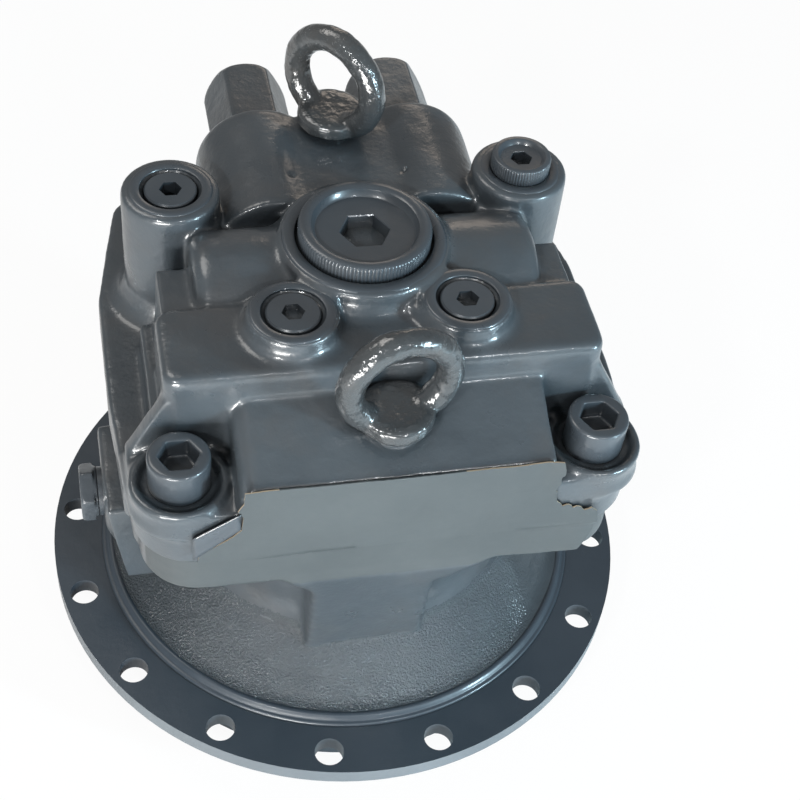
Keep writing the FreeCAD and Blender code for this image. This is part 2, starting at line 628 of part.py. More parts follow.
def build_swash_plate():
    """Wedge ring: flat seat below, running face tilted to the shaft axis."""
    body = new_body("swash_plate")
    sketch = new_sketch(body, "side_view", "YZ_Plane", -z.swash_radius - 2)
    reach = z.swash_radius + 2
    slope = sine(z.tilt) / cosine(z.tilt)
    draw_chain(sketch, [(-reach, z.swash_seat_z), (reach, z.swash_seat_z),
                        (reach, swash_centre - reach * slope), (-reach, swash_centre + reach * slope)])
    wedge = body.newObject("PartDesign::Pad", "wedge")
    wedge.Profile = sketch
    bind(wedge, "Length", 2 * reach)
    revolve(body, "rim_trim", [(z.swash_radius, 0), (z.swash_radius + 40, 0),
                               (z.swash_radius + 40, z.joint_z), (z.swash_radius, z.joint_z)], cut=True)
    revolve(body, "shaft_passage", [(0, 0), (z.swash_bore, 0), (z.swash_bore, z.joint_z), (0, z.joint_z)], cut=True)
    return body


def build_bolts(label, shank, head, head_height, across, places, seat, length):
    """Socket head screws, one solid each."""
    shapes = []
    for index, (x, y) in enumerate(places):
        name = "%s_%d" % (label, index + 1)
        body = new_body(name)
        edge = head * 0.06
        revolve(body, "turned", [
            (0, -length), (shank - 1.5, -length), (shank, -length + 1.5), (shank, 0), (head, 0),
            (head, head_height - edge), (head - edge, head_height), (0, head_height),
        ])
        hex_cut(body, "socket", across, head_height * 0.55 + 1, (0, 0, head_height * 0.45))
        place(body, (x, y, seat))
        shapes.append(body)
    return shapes


def build_flush_plug(label, x, y, top, length):
    body = new_body(label)
    revolve(body, "turned", [
        (0, -length), (z.plug_radius - 1.5, -length), (z.plug_radius, -length + 1.5),
        (z.plug_radius, -0.8), (z.plug_radius - 0.8, 0), (0, 0),
    ])
    hex_cut(body, "socket", z.plug_hex, 9, (0, 0, -8))
    place(body, (x, y, top))
    return body


def build_raised_plug():
    """Rear right plug: raised round head with a dished top."""
    body = new_body("corner_plug_rear_right")
    rise = z.rear_head_rise
    revolve(body, "turned", [
        (0, -z.plug_length), (z.plug_radius - 1.5, -z.plug_length), (z.plug_radius, -z.plug_length + 1.5),
        (z.plug_radius, 0), (z.rear_head_radius, 0), (z.rear_head_radius, rise - 1), (z.rear_head_radius - 1, rise),
        (z.rear_head_dish + 1, rise), (z.rear_head_dish, rise - 2.5), (0, rise - 2.5),
    ])
    hex_cut(body, "socket", z.plug_hex, 9, (0, 0, rise - 10))
    place(body, (z.rear_plug_x, z.rear_plug_y, z.boss_top))
    return body


def build_centre_plug():
    body = new_body("center_plug")
    rise, sink = z.centre_rise, -z.centre_sink
    low = -z.centre_length + 2
    groove = z.centre_thread_radius - 2.6
    revolve(body, "turned", [
        (0, low), (z.centre_thread_radius - 2, low), (z.centre_thread_radius, low + 2),
        (z.centre_thread_radius, low + 5), (groove, low + 5), (groove, low + 9),
        (z.centre_thread_radius, low + 9), (z.centre_thread_radius, sink), (z.centre_plug_radius, sink),
        (z.centre_plug_radius, rise - 1), (z.centre_plug_radius - 1, rise), (z.centre_dish_radius + 1.5, rise),
        (z.centre_dish_radius, rise - z.centre_dish_depth), (0, rise - z.centre_dish_depth),
    ])
    hex_cut(body, "socket", z.centre_hex, 13, (0, 0, rise - z.centre_dish_depth - 12))
    place(body, (0, 0, z.boss_top))
    return body


def ring_profile(radius, wire):
    """Eight-sided section of a soft ring."""
    half = wire * 0.42
    return [(radius - half, -wire), (radius + half, -wire), (radius + wire, -half), (radius + wire, half),
            (radius + half, wire), (radius - half, wire), (radius - wire, half), (radius - wire, -half)]


def build_ring(label, radius, wire, at, axis="Z"):
    return turned(label, ring_profile(dim(radius), dim(wire)), at, axis)


def build_eye_bolt(label, at, turn):
    """Lifting eye: collar, tapered neck and ring."""
    body = new_body(label)
    high = z.eye_rise - z.eye_ring_radius
    revolve(body, "stem", [
        (0, -z.eye_shank_length + 1), (z.eye_shank - 1.2, -z.eye_shank_length + 1),
        (z.eye_shank, -z.eye_shank_length + 2.2), (z.eye_shank, 0), (z.eye_collar_radius, 0),
        (z.eye_collar_radius, z.eye_collar_height - 1.5), (z.eye_collar_radius - 2, z.eye_collar_height),
        (z.eye_collar_radius - 6, z.eye_collar_height + 1.5), (z.eye_bar_radius + 1.5, high + 2), (0, high + 2),
    ])
    ring = body.newObject("PartDesign::AdditiveTorus", "ring")
    bind(ring, "Radius1", z.eye_ring_radius)
    bind(ring, "Radius2", z.eye_bar_radius)
    place(ring, (0, 0, z.eye_rise), "Y")
    place(body, at, "Z", turn.value)
    body.setExpression("Placement.Rotation.Angle", "%s * 1 deg" % turn.text)
    return body


def build_relief_valve(label, x):
    """Relief valve cartridge: threaded body and hexagonal cap with a turned-off end."""
    body = new_body(label)
    across = z.relief_hex / math.sqrt(3.0)
    head = z.relief_head
    revolve(body, "thread", [
        (0, -z.relief_length), (z.relief_thread - 2, -z.relief_length), (z.relief_thread, -z.relief_length + 2),
        (z.relief_thread, 0), (z.relief_thread + 2, 0), (z.relief_thread + 2, 3), (0, 3),
    ])
    add_solid(body, "cap", "AdditivePrism", {"Circumradius": across, "Height": head - 2.5}, (0, 0, 2.5))
    far = across + 6
    revolve(body, "cap_round", [
        (across - 7, head + 1), (across - 4.6, head - 0.9), (across - 2.2, head - 3.4), (across - 0.6, head - 7),
        (across + 0.1, head - 12), (far, head - 12), (far, head + 1),
    ], cut=True)
    place(body, (x, z.hump_reach, z.hump_axis_z), "Y")
    return body


def build_drain_plug():
    body = new_body("drain_plug")
    radius = z.drain_hex / math.sqrt(3.0)
    low = z.washer_thickness
    revolve(body, "thread", [
        (0, -18), (z.drain_thread - 1.2, -18), (z.drain_thread, -16.8), (z.drain_thread, low),
        (z.drain_hex / 2, low), (z.drain_hex / 2, low + 2), (0, low + 2),
    ])
    add_solid(body, "head", "AdditivePrism", {"Circumradius": radius, "Height": z.drain_head - low - 2}, (
        0, 0, low + 2))
    revolve(body, "head_round", [
        (radius - 1.8, z.drain_head + 0.5), (radius + 0.2, z.drain_head - 2), (radius + 4, z.drain_head - 2),
        (radius + 4, z.drain_head + 0.5),
    ], cut=True)
    place(body, (-z.pad_reach, -z.drain_y, z.drain_z), "-X")
    return body


def build_shaft():
    """Drive shaft: splined output end, bearing seats, splined middle and rear journal."""
    body = new_body("drive_shaft")
    top = z.shaft_tail_z
    seat = bearing_low
    revolve(body, "turned", [
        (0, z.shaft_end_z), (z.shaft_mid_radius - 1.5, z.shaft_end_z), (z.shaft_mid_radius, z.shaft_end_z + 1.5),
        (z.shaft_mid_radius, seal_low - 2), (z.shaft_radius, seal_low), (z.shaft_radius, z.swash_seat_z),
        (z.shaft_radius + 2, z.swash_seat_z), (z.shaft_radius + 2, z.swash_seat_z + 4),
        (z.shaft_mid_radius, z.swash_seat_z + 8), (z.shaft_mid_radius, joint - 8),
        (rear_inner - z.rear_ring_wall, joint - 2), (rear_inner - z.rear_ring_wall, top - 1.5),
        (rear_inner - z.rear_ring_wall - 1.5, top), (0, top),
    ])
    tooth = z.spline_depth
    sketch = new_sketch(body, "spline_gap_profile", "XY_Plane", z.shaft_end_z - 1)
    draw_chain(sketch, [(z.shaft_mid_radius - tooth, -1.2), (z.shaft_mid_radius + 2, -2.6),
                        (z.shaft_mid_radius + 2, 2.6), (z.shaft_mid_radius - tooth, 1.2)])
    gap = body.newObject("PartDesign::Pocket", "spline_gap")
    gap.Profile = sketch
    gap.Reversed = True
    bind(gap, "Length", seal_low - z.shaft_end_z - 2)
    polar(body, "spline", gap, z.spline_count.value)
    return body


def build_cylinder_block():
    """Cylinder block: nine bores, kidney ducts to the valve plate, spring chamber and splined bore."""
    body = new_body("cylinder_block")
    inner = z.shaft_mid_radius + 0.2
    low, high = z.block_bottom_z, block_top
    revolve(body, "barrel", [
        (inner, low + 34), (inner + 7, low + 34), (inner + 7, low), (z.block_radius, low), (z.block_radius, high),
        (z.block_radius - 12, high), (z.block_radius - 12, high - 1), (inner + 4, high - 1), (inner, high - 4),
    ])
    hole = bore(body, "piston_bore", z.piston_radius + z.bore_clearance, high - z.bore_roof - low + 1, (
        bore_circle, 0, low - 1))
    polar(body, "piston_bores", hole, 9)
    duct = add_solid(body, "duct", "SubtractiveBox", {
        "Length": 2 * z.kidney_half_width - 1, "Width": z.piston_radius + 3, "Height": z.bore_roof + 4}, (
        z.ball_circle - z.kidney_half_width + 0.5, -(z.piston_radius + 3) / 2, high - z.bore_roof - 2))
    polar(body, "ducts", duct, 9)
    return body


def build_pistons():
    """Nine pistons: ball, neck, hollow skirt with two lands."""
    shapes = []
    for index in range(9):
        body = new_body("piston_%d" % (index + 1))
        steps = 7
        ball = [(z.ball_radius * sine(dim(180.0 * i / 12)), -z.ball_radius * cosine(dim(180.0 * i / 12)))
                for i in range(9)]
        ball[0] = (0, -z.ball_radius)
        top, wide = z.piston_length, z.piston_radius
        corners = ball + [
            (z.piston_neck, z.ball_radius * 0.8), (z.piston_neck, z.piston_skirt - 0.6), (wide - 3, z.piston_skirt),
            (wide, z.piston_skirt + 3), (wide, top - 14), (wide - 0.5, top - 13.5), (wide - 0.5, top - 11.5),
            (wide, top - 11), (wide, top - 1), (wide - 1, top), (z.piston_hollow, top),
            (z.piston_hollow, z.piston_skirt + 14), (0, z.piston_skirt + 11),
        ]
        revolve(body, "turned", corners)
        spot = tilted(0, z.ball_circle.value, 40.0 * index)
        body.Placement = Placement(spot, Rotation())
        shapes.append(body)
    return shapes


def build_shoes():
    """Nine slipper shoes, one solid each, with their sockets round the piston balls."""
    tilt = Rotation(Vector(1, 0, 0), -z.tilt.value)
    cavity = z.ball_radius + z.socket_clearance
    low = -z.shoe_height
    shapes = []
    for index in range(9):
        body = new_body("shoe_%d" % (index + 1))
        head = z.shoe_head_top
        lip = Dim(math.sqrt(cavity.value ** 2 - head.value ** 2),
                  "sqrt(%s ^ 2 - %s ^ 2)" % (cavity.text, head.text))
        bowl = [(cavity * cosine(dim(a)), cavity * sine(dim(a))) for a in (0, -18, -36, -54, -72)]
        revolve(body, "turned", [
            (0, -cavity), (0, low + 1), (4, low + 1), (5, low), (z.shoe_radius, low),
            (z.shoe_radius, low + z.shoe_flange), (z.shoe_head_radius, low + z.shoe_flange),
            (z.shoe_head_radius, head - 1), (z.shoe_head_radius - 1, head), (lip, head),
        ] + bowl)
        body.Placement = Placement(tilted(0, z.ball_circle.value, 40.0 * index), tilt)
        shapes.append(body)
    return shapes


def build_retainer():
    """Retainer plate that holds the shoes down; its inner rim rides on the ball guide."""
    body = new_body("retainer_plate")
    low = -z.shoe_height + z.shoe_flange + z.film
    high = low + z.retainer_thickness
    sphere = z.guide_radius + z.running_gap
    rim = [Dim(math.sqrt(sphere.value ** 2 - level.value ** 2),
               "sqrt(%s ^ 2 - %s ^ 2)" % (sphere.text, level.text)) for level in (low, high)]
    outer = z.ball_circle + z.shoe_radius + 3
    revolve(body, "plate", [(rim[0], low), (outer, low), (outer, high), (rim[1], high)])
    hole = bore(body, "shoe_hole", z.shoe_head_radius + 0.5, z.retainer_thickness + 4, (z.ball_circle, 0, low - 2))
    polar(body, "shoe_holes", hole, 9)
    body.Placement = Placement(Vector(0, 0, ball_centre.value), Rotation(Vector(1, 0, 0), -z.tilt.value))
    body.setExpression("Placement.Base.z", ball_centre.text)
    return body


def build_ball_guide():
    inner = z.shaft_mid_radius + 0.2
    angles = (-38, -30, -20, -10, 0)
    arc = [(z.guide_radius * cosine(dim(a)), z.guide_radius * sine(dim(a))) for a in angles]
    low = z.guide_radius * sine(dim(-38))
    return turned("ball_guide", [(inner, low)] + arc + [(z.guide_radius, 12), (inner, 12)],
                  (0, 0, ball_centre))


def coil(radius, wire, height, turns, sides=6):
    """Coil spring with an open pitch, standing on its own origin."""
    clear = height - 2 * wire
    helix = Part.makeHelix(clear / turns, clear, radius)
    points = [Vector(radius + wire * math.cos(2 * math.pi * i / sides), 0, wire * math.sin(2 * math.pi * i / sides))
              for i in range(sides)]
    section = Part.makePolygon(points + points[:1])
    shape = Part.Wire(helix).makePipeShell([section], True, True)
    return shape.transformGeometry(FreeCAD.Matrix(1, 0, 0, 0, 0, 1, 0, 0, 0, 0, 1, wire))


def build_block_spring():
    low = ball_centre.value + 12 + 0.2
    high = z.block_bottom_z.value + 34
    return feature("block_spring", coil(z.shaft_mid_radius.value + 4, 1.9, high - 0.2 - low, 5), Vector(0, 0, low))


def build_plates():
    """Parking brake stack: four separators in the casing and three friction plates on the block."""
    separators, frictions = [], []
    for index in range(7):
        low = z.stack_z + index * stack_pitch
        high = low + z.plate_thickness
        if index % 2 == 0:
            shape = turned("separator_%d" % index, block_profile(z.separator_bore, z.separator_radius, low, high))
            separators.append(shape)
        else:
            shape = turned("friction_%d" % index, block_profile(z.block_radius + 0.15, z.friction_radius, low, high))
            frictions.append(shape)
    return separators, frictions


def build_brake_piston():
    body = new_body("brake_piston")
    small, large = z.brake_small_radius, z.brake_large_radius
    low, step, deep = stack_high, brake_high - z.brake_step, 2 * z.seal_wire
    revolve(body, "ring", [
        (z.brake_bore, low), (small, low), (small, low + 3), (small - deep, low + 3), (small - deep, low + 3 + deep),
        (small, low + 3 + deep), (small, step), (large, step), (large, step + 2), (large - deep, step + 2),
        (large - deep, step + 2 + deep), (large, step + 2 + deep), (large, brake_high), (z.brake_bore, brake_high),
    ])
    hole = bore(body, "spring_pocket", z.brake_spring_radius + z.brake_wire + 0.4, z.spring_pocket + 1, (
        z.brake_spring_circle, 0, brake_high - z.spring_pocket))
    polar(body, "spring_pockets", hole, 8)
    return body


def ring_compound(label, centre, radius, half, count, low, high):
    """Rollers of a bearing, one solid each, in one piece of the tree."""
    shapes = []
    for index in range(count):
        turn = 2 * math.pi * index / count
        spot = Vector(centre * math.cos(turn), centre * math.sin(turn), low)
        shapes.append(Part.makeCylinder(radius, high - low, spot))
    return feature(label, Part.makeCompound(shapes))


def build_bearing(label, outer, wall, roller, pitch, inner, shaft, low, high, count):
    """Roller bearing: two races, rollers and a cage with one window per roller."""
    turned(label + "_outer_ring", [
        (outer, low), (outer, high), (outer - wall - 1.6, high), (outer - wall - 1.6, high - 1.6),
        (outer - wall, high - 1.6), (outer - wall, low + 1.6), (outer - wall - 1.6, low + 1.6),
        (outer - wall - 1.6, low),
    ])
    turned(label + "_inner_ring", block_profile(shaft + 0.02, inner, low, high))
    body = new_body(label + "_cage")
    thin = roller * 0.22
    revolve(body, "band", block_profile(pitch - thin, pitch + thin, low + 2.0, high - 2.0))
    window = bore(body, "window", roller + 0.3, high - low - 8, (pitch, 0, low + 4))
    polar(body, "windows", window, count)
    return ring_compound(label + "_rollers", pitch.value, roller.value, 0, count,
                         low.value + 4.3, high.value - 4.3)


def build_makeup_valve(side, name):
    """Make-up check valve: poppet and spring below its plug."""
    x = side * z.makeup_x
    low = z.makeup_boss_top - 46
    cap = z.makeup_boss_top - z.plug_length
    turned("makeup_poppet_" + name, [
        (0, -5), (5, -5), (7.6, -0.1), (7.9, 0.3), (11.5, 0.3), (11.5, 12), (10.5, 13), (8.5, 13), (8.5, 3), (0, 3),
    ], (x, -z.makeup_y, low))
    start, end = low.value + 3.1, cap.value - 0.1
    feature("makeup_spring_" + name, coil(6.4, 1.0, end - start, 4, 5), Vector(x.value, -z.makeup_y.value, start))


def gather(label, items):
    """Several equal solids that share one piece of the tree."""
    item = doc.addObject("Part::Compound", label)
    item.Label = label
    item.Links = items
    return item


def build_valve_plate():
    body = new_body("valve_plate")
    low = joint - z.valve_plate_thickness
    revolve(body, "disc", block_profile(z.shaft_mid_radius + 2, z.valve_plate_radius, low, joint))
    for side, name in CORNERS:
        kidney = new_sketch(body, "kidney_profile_" + name, "XZ_Plane")
        near_edge = side * (z.ball_circle - z.kidney_half_width)
        far_edge = side * (z.ball_circle + z.kidney_half_width)
        draw_chain(kidney, [(near_edge, low - 1), (far_edge, low - 1), (far_edge, joint + 1), (near_edge, joint + 1)])
        cut = body.newObject("PartDesign::Groove", "kidney_" + name)
        cut.Profile = kidney
        cut.ReferenceAxis = (kidney, ["V_Axis"])
        cut.Angle = 100
        cut.Midplane = True
    return body


def build_brake_springs():
    low = brake_high.value - z.spring_pocket.value + 0.1
    shapes = []
    for index in range(8):
        turn = math.radians(45.0 * index)
        radius = z.brake_spring_circle.value
        spring = coil(z.brake_spring_radius.value, z.brake_wire.value, joint.value - 0.1 - low, 4, 5)
        spring.translate(Vector(radius * math.cos(turn), radius * math.sin(turn), low))
        shapes.append(spring)
    return feature("brake_springs", Part.makeCompound(shapes))


build_motor_casing()
build_valve_casing()
build_swash_plate()
build_valve_plate()
build_raised_plug()
build_centre_plug()
build_flush_plug("corner_plug_rear_left", -z.rear_plug_x, z.rear_plug_y, z.boss_top, z.plug_length)
for side, name in CORNERS:
    build_flush_plug("makeup_plug_" + name, side * z.makeup_x, -z.makeup_y, z.makeup_boss_top, z.plug_length)
    build_makeup_valve(side, name)
for side, name in port_side:
    build_relief_valve("relief_valve_" + name, side)
gather("casing_bolts_front", build_bolts(
    "front_bolt", z.bolt_shank, z.bolt_head, z.bolt_head_height, z.bolt_hex,
    [(side * z.corner_x, -z.corner_y) for side, name in CORNERS], z.bolt_seat_z,
    z.bolt_seat_z - joint + z.bolt_grip_below))
gather("casing_bolts_rear", build_bolts(
    "rear_bolt", z.rear_bolt_shank, z.rear_bolt_head, z.rear_bolt_head_height, z.rear_bolt_hex,
    [(side * z.rear_plug_x, z.rear_plug_y) for side, name in CORNERS], z.rear_bolt_seat_z,
    z.rear_bolt_seat_z - joint + z.bolt_grip_below - 3))
build_eye_bolt("eye_bolt_front", (0, -z.front_eye_y, z.front_eye_seat), z.front_eye_turn)
build_eye_bolt("eye_bolt_rear", (0, z.rear_eye_y, z.eye_pad_top), z.rear_eye_turn)
build_drain_plug()
turned("drain_plug_washer", block_profile(
    z.drain_thread + 0.2, z.drain_hex / 2 - 0.5, 0, z.washer_thickness), (-z.pad_reach, -z.drain_y, z.drain_z), "-X")
centre_low = z.boss_top - z.centre_length + 9
build_ring("center_plug_oring", z.centre_thread_radius - 1.2, 1.3, (0, 0, centre_low))
build_ring("casing_oring", oring_radius, z.seal_wire - 0.1, (0, 0, joint - z.seal_wire))
gather("brake_piston_seals", [
    build_ring("brake_seal_small", z.brake_small_radius - z.seal_wire, z.seal_wire - 0.15, (
        0, 0, stack_high + 3 + z.seal_wire)),
    build_ring("brake_seal_large", z.brake_large_radius - z.seal_wire, z.seal_wire - 0.15, (
        0, 0, brake_high - z.brake_step + 2 + z.seal_wire)),
])
gather("dowel_pins", [
    turned("dowel_" + name, [(0, -10), (4, -10), (5, -9), (5, 9), (4, 10), (0, 10)], (
        side * (z.side_reach - 19), 10, joint)) for side, name in CORNERS])
turned("oil_seal", [
    (z.shaft_radius + z.running_gap, seal_low + 3), (z.shaft_radius + 4, seal_low + 3),
    (z.shaft_radius + 4, seal_low + 5), (z.seal_recess_radius - 12, seal_low + 5),
    (z.seal_recess_radius - 12, seal_low + 2), (z.seal_recess_radius - 8.05, seal_low + 2),
    (z.seal_recess_radius - 8.05, seal_high), (z.shaft_radius + 8, seal_high),
    (z.shaft_radius + 5, seal_high - 2), (z.shaft_radius + z.running_gap, seal_low + 5)])
turned("snap_ring", block_profile(
    z.seal_recess_radius - 11, z.seal_recess_radius - 8.05, seal_low + 0.2, seal_low + 1.9))
build_shaft()
build_cylinder_block()
build_pistons()
gather("slipper_shoes", build_shoes())
build_retainer()
build_ball_guide()
build_block_spring()
separators, frictions = build_plates()
gather("separator_plates", separators)
gather("friction_plates", frictions)
build_brake_piston()
build_brake_springs()
build_bearing("main_bearing", z.main_bearing_radius - 0.05, z.ring_wall, z.main_roller_radius, main_pitch,
              main_inner, z.shaft_radius, bearing_low, bearing_low + z.main_bearing_width, 16)
build_bearing("rear_bearing", z.rear_bearing_radius - 0.05, z.rear_ring_wall, z.rear_roller_radius, rear_pitch,
              rear_inner, rear_inner - z.rear_ring_wall, rear_bearing_low, rear_bearing_high, 14)
doc.recompute()

NODES = [
    "motor_casing", "valve_casing", "casing_bolts_front", "casing_bolts_rear", "center_plug", "center_plug_oring",
    "makeup_plug_left", "makeup_plug_right", "corner_plug_rear_left", "corner_plug_rear_right",
    "eye_bolt_front", "eye_bolt_rear", "relief_valve_left", "relief_valve_right", "drain_plug",
    "drain_plug_washer", "casing_oring", "dowel_pins", "oil_seal", "snap_ring", "main_bearing_outer_ring",
    "main_bearing_rollers", "main_bearing_cage", "main_bearing_inner_ring", "rear_bearing_outer_ring",
    "rear_bearing_rollers", "rear_bearing_cage", "rear_bearing_inner_ring", "swash_plate", "valve_plate",
    "separator_plates", "friction_plates", "brake_piston", "brake_piston_seals", "brake_springs", "drive_shaft",
    "cylinder_block", "ball_guide", "block_spring", "retainer_plate", "slipper_shoes",
    "makeup_poppet_left", "makeup_poppet_right", "makeup_spring_left", "makeup_spring_right",
] + ["piston_%d" % (index + 1) for index in range(9)]

failed = [item.Name for item in doc.Objects if "Invalid" in item.State or "Error" in item.State]
if failed:
    raise RuntimeError("features failed: %s" % ", ".join(failed))
shapes = {}
for label in NODES:
    shape = doc.getObjectsByLabel(label)[0].Shape
    if shape.isNull() or not shape.isValid() or not shape.Solids:
        raise RuntimeError("bad shape: %s" % label)
    shapes[label] = shape
for label, shape in shapes.items():
    shape.exportStep("parts/%s.step" % label)
print("%d pieces, %d solids" % (len(shapes), sum(len(shape.Solids) for shape in shapes.values())))
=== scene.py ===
import json
import math

import bmesh
import bpy
import numpy as np
from mathutils import Matrix, Vector
from mathutils.geometry import delaunay_2d_cdt


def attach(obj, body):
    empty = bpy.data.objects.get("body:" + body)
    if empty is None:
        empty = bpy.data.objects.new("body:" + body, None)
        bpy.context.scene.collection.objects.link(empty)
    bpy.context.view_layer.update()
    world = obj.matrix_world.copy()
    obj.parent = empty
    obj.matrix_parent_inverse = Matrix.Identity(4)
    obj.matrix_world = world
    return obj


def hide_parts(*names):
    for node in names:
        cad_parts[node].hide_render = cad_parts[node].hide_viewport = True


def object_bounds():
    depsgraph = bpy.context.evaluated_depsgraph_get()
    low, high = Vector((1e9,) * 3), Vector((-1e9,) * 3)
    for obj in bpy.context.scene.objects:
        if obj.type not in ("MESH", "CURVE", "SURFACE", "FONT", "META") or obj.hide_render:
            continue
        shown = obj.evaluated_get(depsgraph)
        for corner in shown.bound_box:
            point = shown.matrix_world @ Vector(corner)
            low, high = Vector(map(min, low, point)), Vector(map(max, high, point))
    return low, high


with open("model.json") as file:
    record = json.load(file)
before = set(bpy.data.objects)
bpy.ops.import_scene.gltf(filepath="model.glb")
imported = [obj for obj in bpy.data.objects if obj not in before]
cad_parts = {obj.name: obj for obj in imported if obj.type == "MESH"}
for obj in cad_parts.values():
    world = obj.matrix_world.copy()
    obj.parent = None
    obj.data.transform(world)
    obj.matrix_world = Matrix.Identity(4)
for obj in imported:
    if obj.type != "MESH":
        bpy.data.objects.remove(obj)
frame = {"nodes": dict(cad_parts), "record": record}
first_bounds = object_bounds()
NODES = frame["nodes"]
MM = 0.001


# Camera: a pinhole fitted to the flange holes, the screw heads and the plugs of the photograph.
CAMERA_AZIMUTH = math.radians(-17.024)
CAMERA_ELEVATION = math.radians(47.639)
CAMERA_ROLL = math.radians(7.614)
CAMERA_DISTANCE = 1.0106
CAMERA_TARGET = Vector((0.058125, 0.09362, 0.010))
SENSOR_WIDTH = 36
PHOTO_WIDTH = 800
FOCAL_PIXELS = 1551.228
CAMERA_LENS = FOCAL_PIXELS * SENSOR_WIDTH / PHOTO_WIDTH


def add_camera():
    ca, sa = math.cos(CAMERA_AZIMUTH), math.sin(CAMERA_AZIMUTH)
    ce, se = math.cos(CAMERA_ELEVATION), math.sin(CAMERA_ELEVATION)
    back = Vector((sa * ce, -ca * ce, se))
    right = Vector((ca, sa, 0))
    up = back.cross(right)
    cr, sr = math.cos(CAMERA_ROLL), math.sin(CAMERA_ROLL)
    across = right * cr + up * sr
    upward = up * cr - right * sr
    data = bpy.data.cameras.new("camera")
    data.lens = CAMERA_LENS
    data.sensor_width = SENSOR_WIDTH
    data.clip_start = 0.05
    data.clip_end = 20
    camera = bpy.data.objects.new("camera", data)
    bpy.context.scene.collection.objects.link(camera)
    spot = CAMERA_TARGET + back * CAMERA_DISTANCE
    columns = Matrix((across, upward, back)).transposed()
    camera.matrix_world = Matrix.Translation(spot) @ columns.to_4x4()
    bpy.context.scene.camera = camera


add_camera()


def new_material(name):
    material = bpy.data.materials.new(name)
    material.use_nodes = True
    tree = material.node_tree
    tree.nodes.clear()
    output = tree.nodes.new("ShaderNodeOutputMaterial")
    shader = tree.nodes.new("ShaderNodeBsdfPrincipled")
    tree.links.new(shader.outputs[0], output.inputs["Surface"])
    return material, tree, shader


def add_node(tree, kind, settings=None, inputs=None):
    node = tree.nodes.new(kind)
    for key, value in (settings or {}).items():
        setattr(node, key, value)
    for key, value in (inputs or {}).items():
        if isinstance(value, bpy.types.NodeSocket):
            tree.links.new(value, node.inputs[key])
        else:
            node.inputs[key].default_value = value
    return node


def add_noise(tree, coords, scale, detail=3.0, roughness=0.5):
    return add_node(tree, "ShaderNodeTexNoise", None, {
        "Vector": coords, "Scale": scale, "Detail": detail, "Roughness": roughness}).outputs["Fac"]


def add_ramp(tree, value, stops):
    node = add_node(tree, "ShaderNodeValToRGB", None, {"Fac": value})
    ramp = node.color_ramp
    ramp.elements[0].position, ramp.elements[0].color = stops[0][0], stops[0][1]
    ramp.elements[1].position, ramp.elements[1].color = stops[-1][0], stops[-1][1]
    for position, colour in stops[1:-1]:
        ramp.elements.new(position).color = colour
    return node.outputs["Color"]


def grey(value):
    return (value, value, value, 1.0)


def add_mix(tree, factor, first, second):
    node = add_node(tree, "ShaderNodeMix", {"data_type": "RGBA"})
    for key, value in ((0, factor), (6, first), (7, second)):
        if isinstance(value, bpy.types.NodeSocket):
            tree.links.new(value, node.inputs[key])
        else:
            node.inputs[key].default_value = value
    return node.outputs[2]


DUST = (0.085, 0.062, 0.045, 1)


def painted(name, dark, light, rough, grain_scale, grain_depth, lump_depth, coat=0.5, dust=0.0,
            calm=None, coat_rough=0.12, gloss=0.5):
    """Thick glossy paint: slow colour drift, lumps and the grain of the casting below it.

    The grain fades between the two values of calm, in metres along X.
    """
    material, tree, shader = new_material(name)
    coords = add_node(tree, "ShaderNodeTexCoord").outputs["Object"]
    drift = add_noise(tree, coords, 11.0, 4.0, 0.6)
    painted_colour = add_ramp(tree, drift, [(0.3, (*dark, 1)), (0.7, (*light, 1))])
    if dust:
        patches = add_noise(tree, coords, 24.0, 5.0, 0.65)
        brown = add_ramp(tree, patches, [(0.5, grey(0)), (0.75, grey(dust))])
        painted_colour = add_mix(tree, brown, painted_colour, DUST)
    # Painted shade: the base colour is darkened in creases and hollows, where the ambient occlusion finds
    # close surfaces.
    near = add_node(tree, "ShaderNodeAmbientOcclusion", {"samples": 6}, {"Distance": 0.014}).outputs["AO"]
    crease_shade = add_ramp(tree, near, [(0.25, grey(0.25)), (0.85, grey(1.0))])
    colour = add_node(tree, "ShaderNodeMix", {"data_type": "RGBA", "blend_type": "MULTIPLY"})
    colour.inputs[0].default_value = 0.85
    tree.links.new(painted_colour, colour.inputs[6])
    tree.links.new(crease_shade, colour.inputs[7])
    tree.links.new(colour.outputs[2], shader.inputs["Base Color"])
    smear = add_noise(tree, coords, 38.0, 4.0, 0.6)
    tree.links.new(add_ramp(tree, smear, [(0.25, grey(rough * 0.7)), (0.75, grey(min(1.0, rough * 1.35)))]),
                   shader.inputs["Roughness"])
    grain = add_noise(tree, coords, grain_scale, 3.0, 0.6)
    lumps = add_noise(tree, coords, grain_scale * 0.22, 2.0, 0.5)
    first = add_node(tree, "ShaderNodeBump", None, {"Strength": 0.8, "Distance": lump_depth, "Height": lumps})
    strength = 0.8
    if calm:
        across = add_node(tree, "ShaderNodeSeparateXYZ", None, {"Vector": coords}).outputs["X"]
        strength = add_node(tree, "ShaderNodeMapRange", None, {
            "Value": across, "From Min": calm[0], "From Max": calm[1],
            "To Min": 0.8, "To Max": 0.15}).outputs[0]
    second = add_node(tree, "ShaderNodeBump", None, {
        "Strength": strength, "Distance": grain_depth, "Height": grain, "Normal": first.outputs["Normal"]})
    tree.links.new(second.outputs["Normal"], shader.inputs["Normal"])
    tree.links.new(second.outputs["Normal"], shader.inputs["Coat Normal"])
    shader.inputs["Metallic"].default_value = 0.0
    shader.inputs["Specular IOR Level"].default_value = gloss
    shader.inputs["Coat Weight"].default_value = coat
    shader.inputs["Coat Roughness"].default_value = coat_rough
    return material


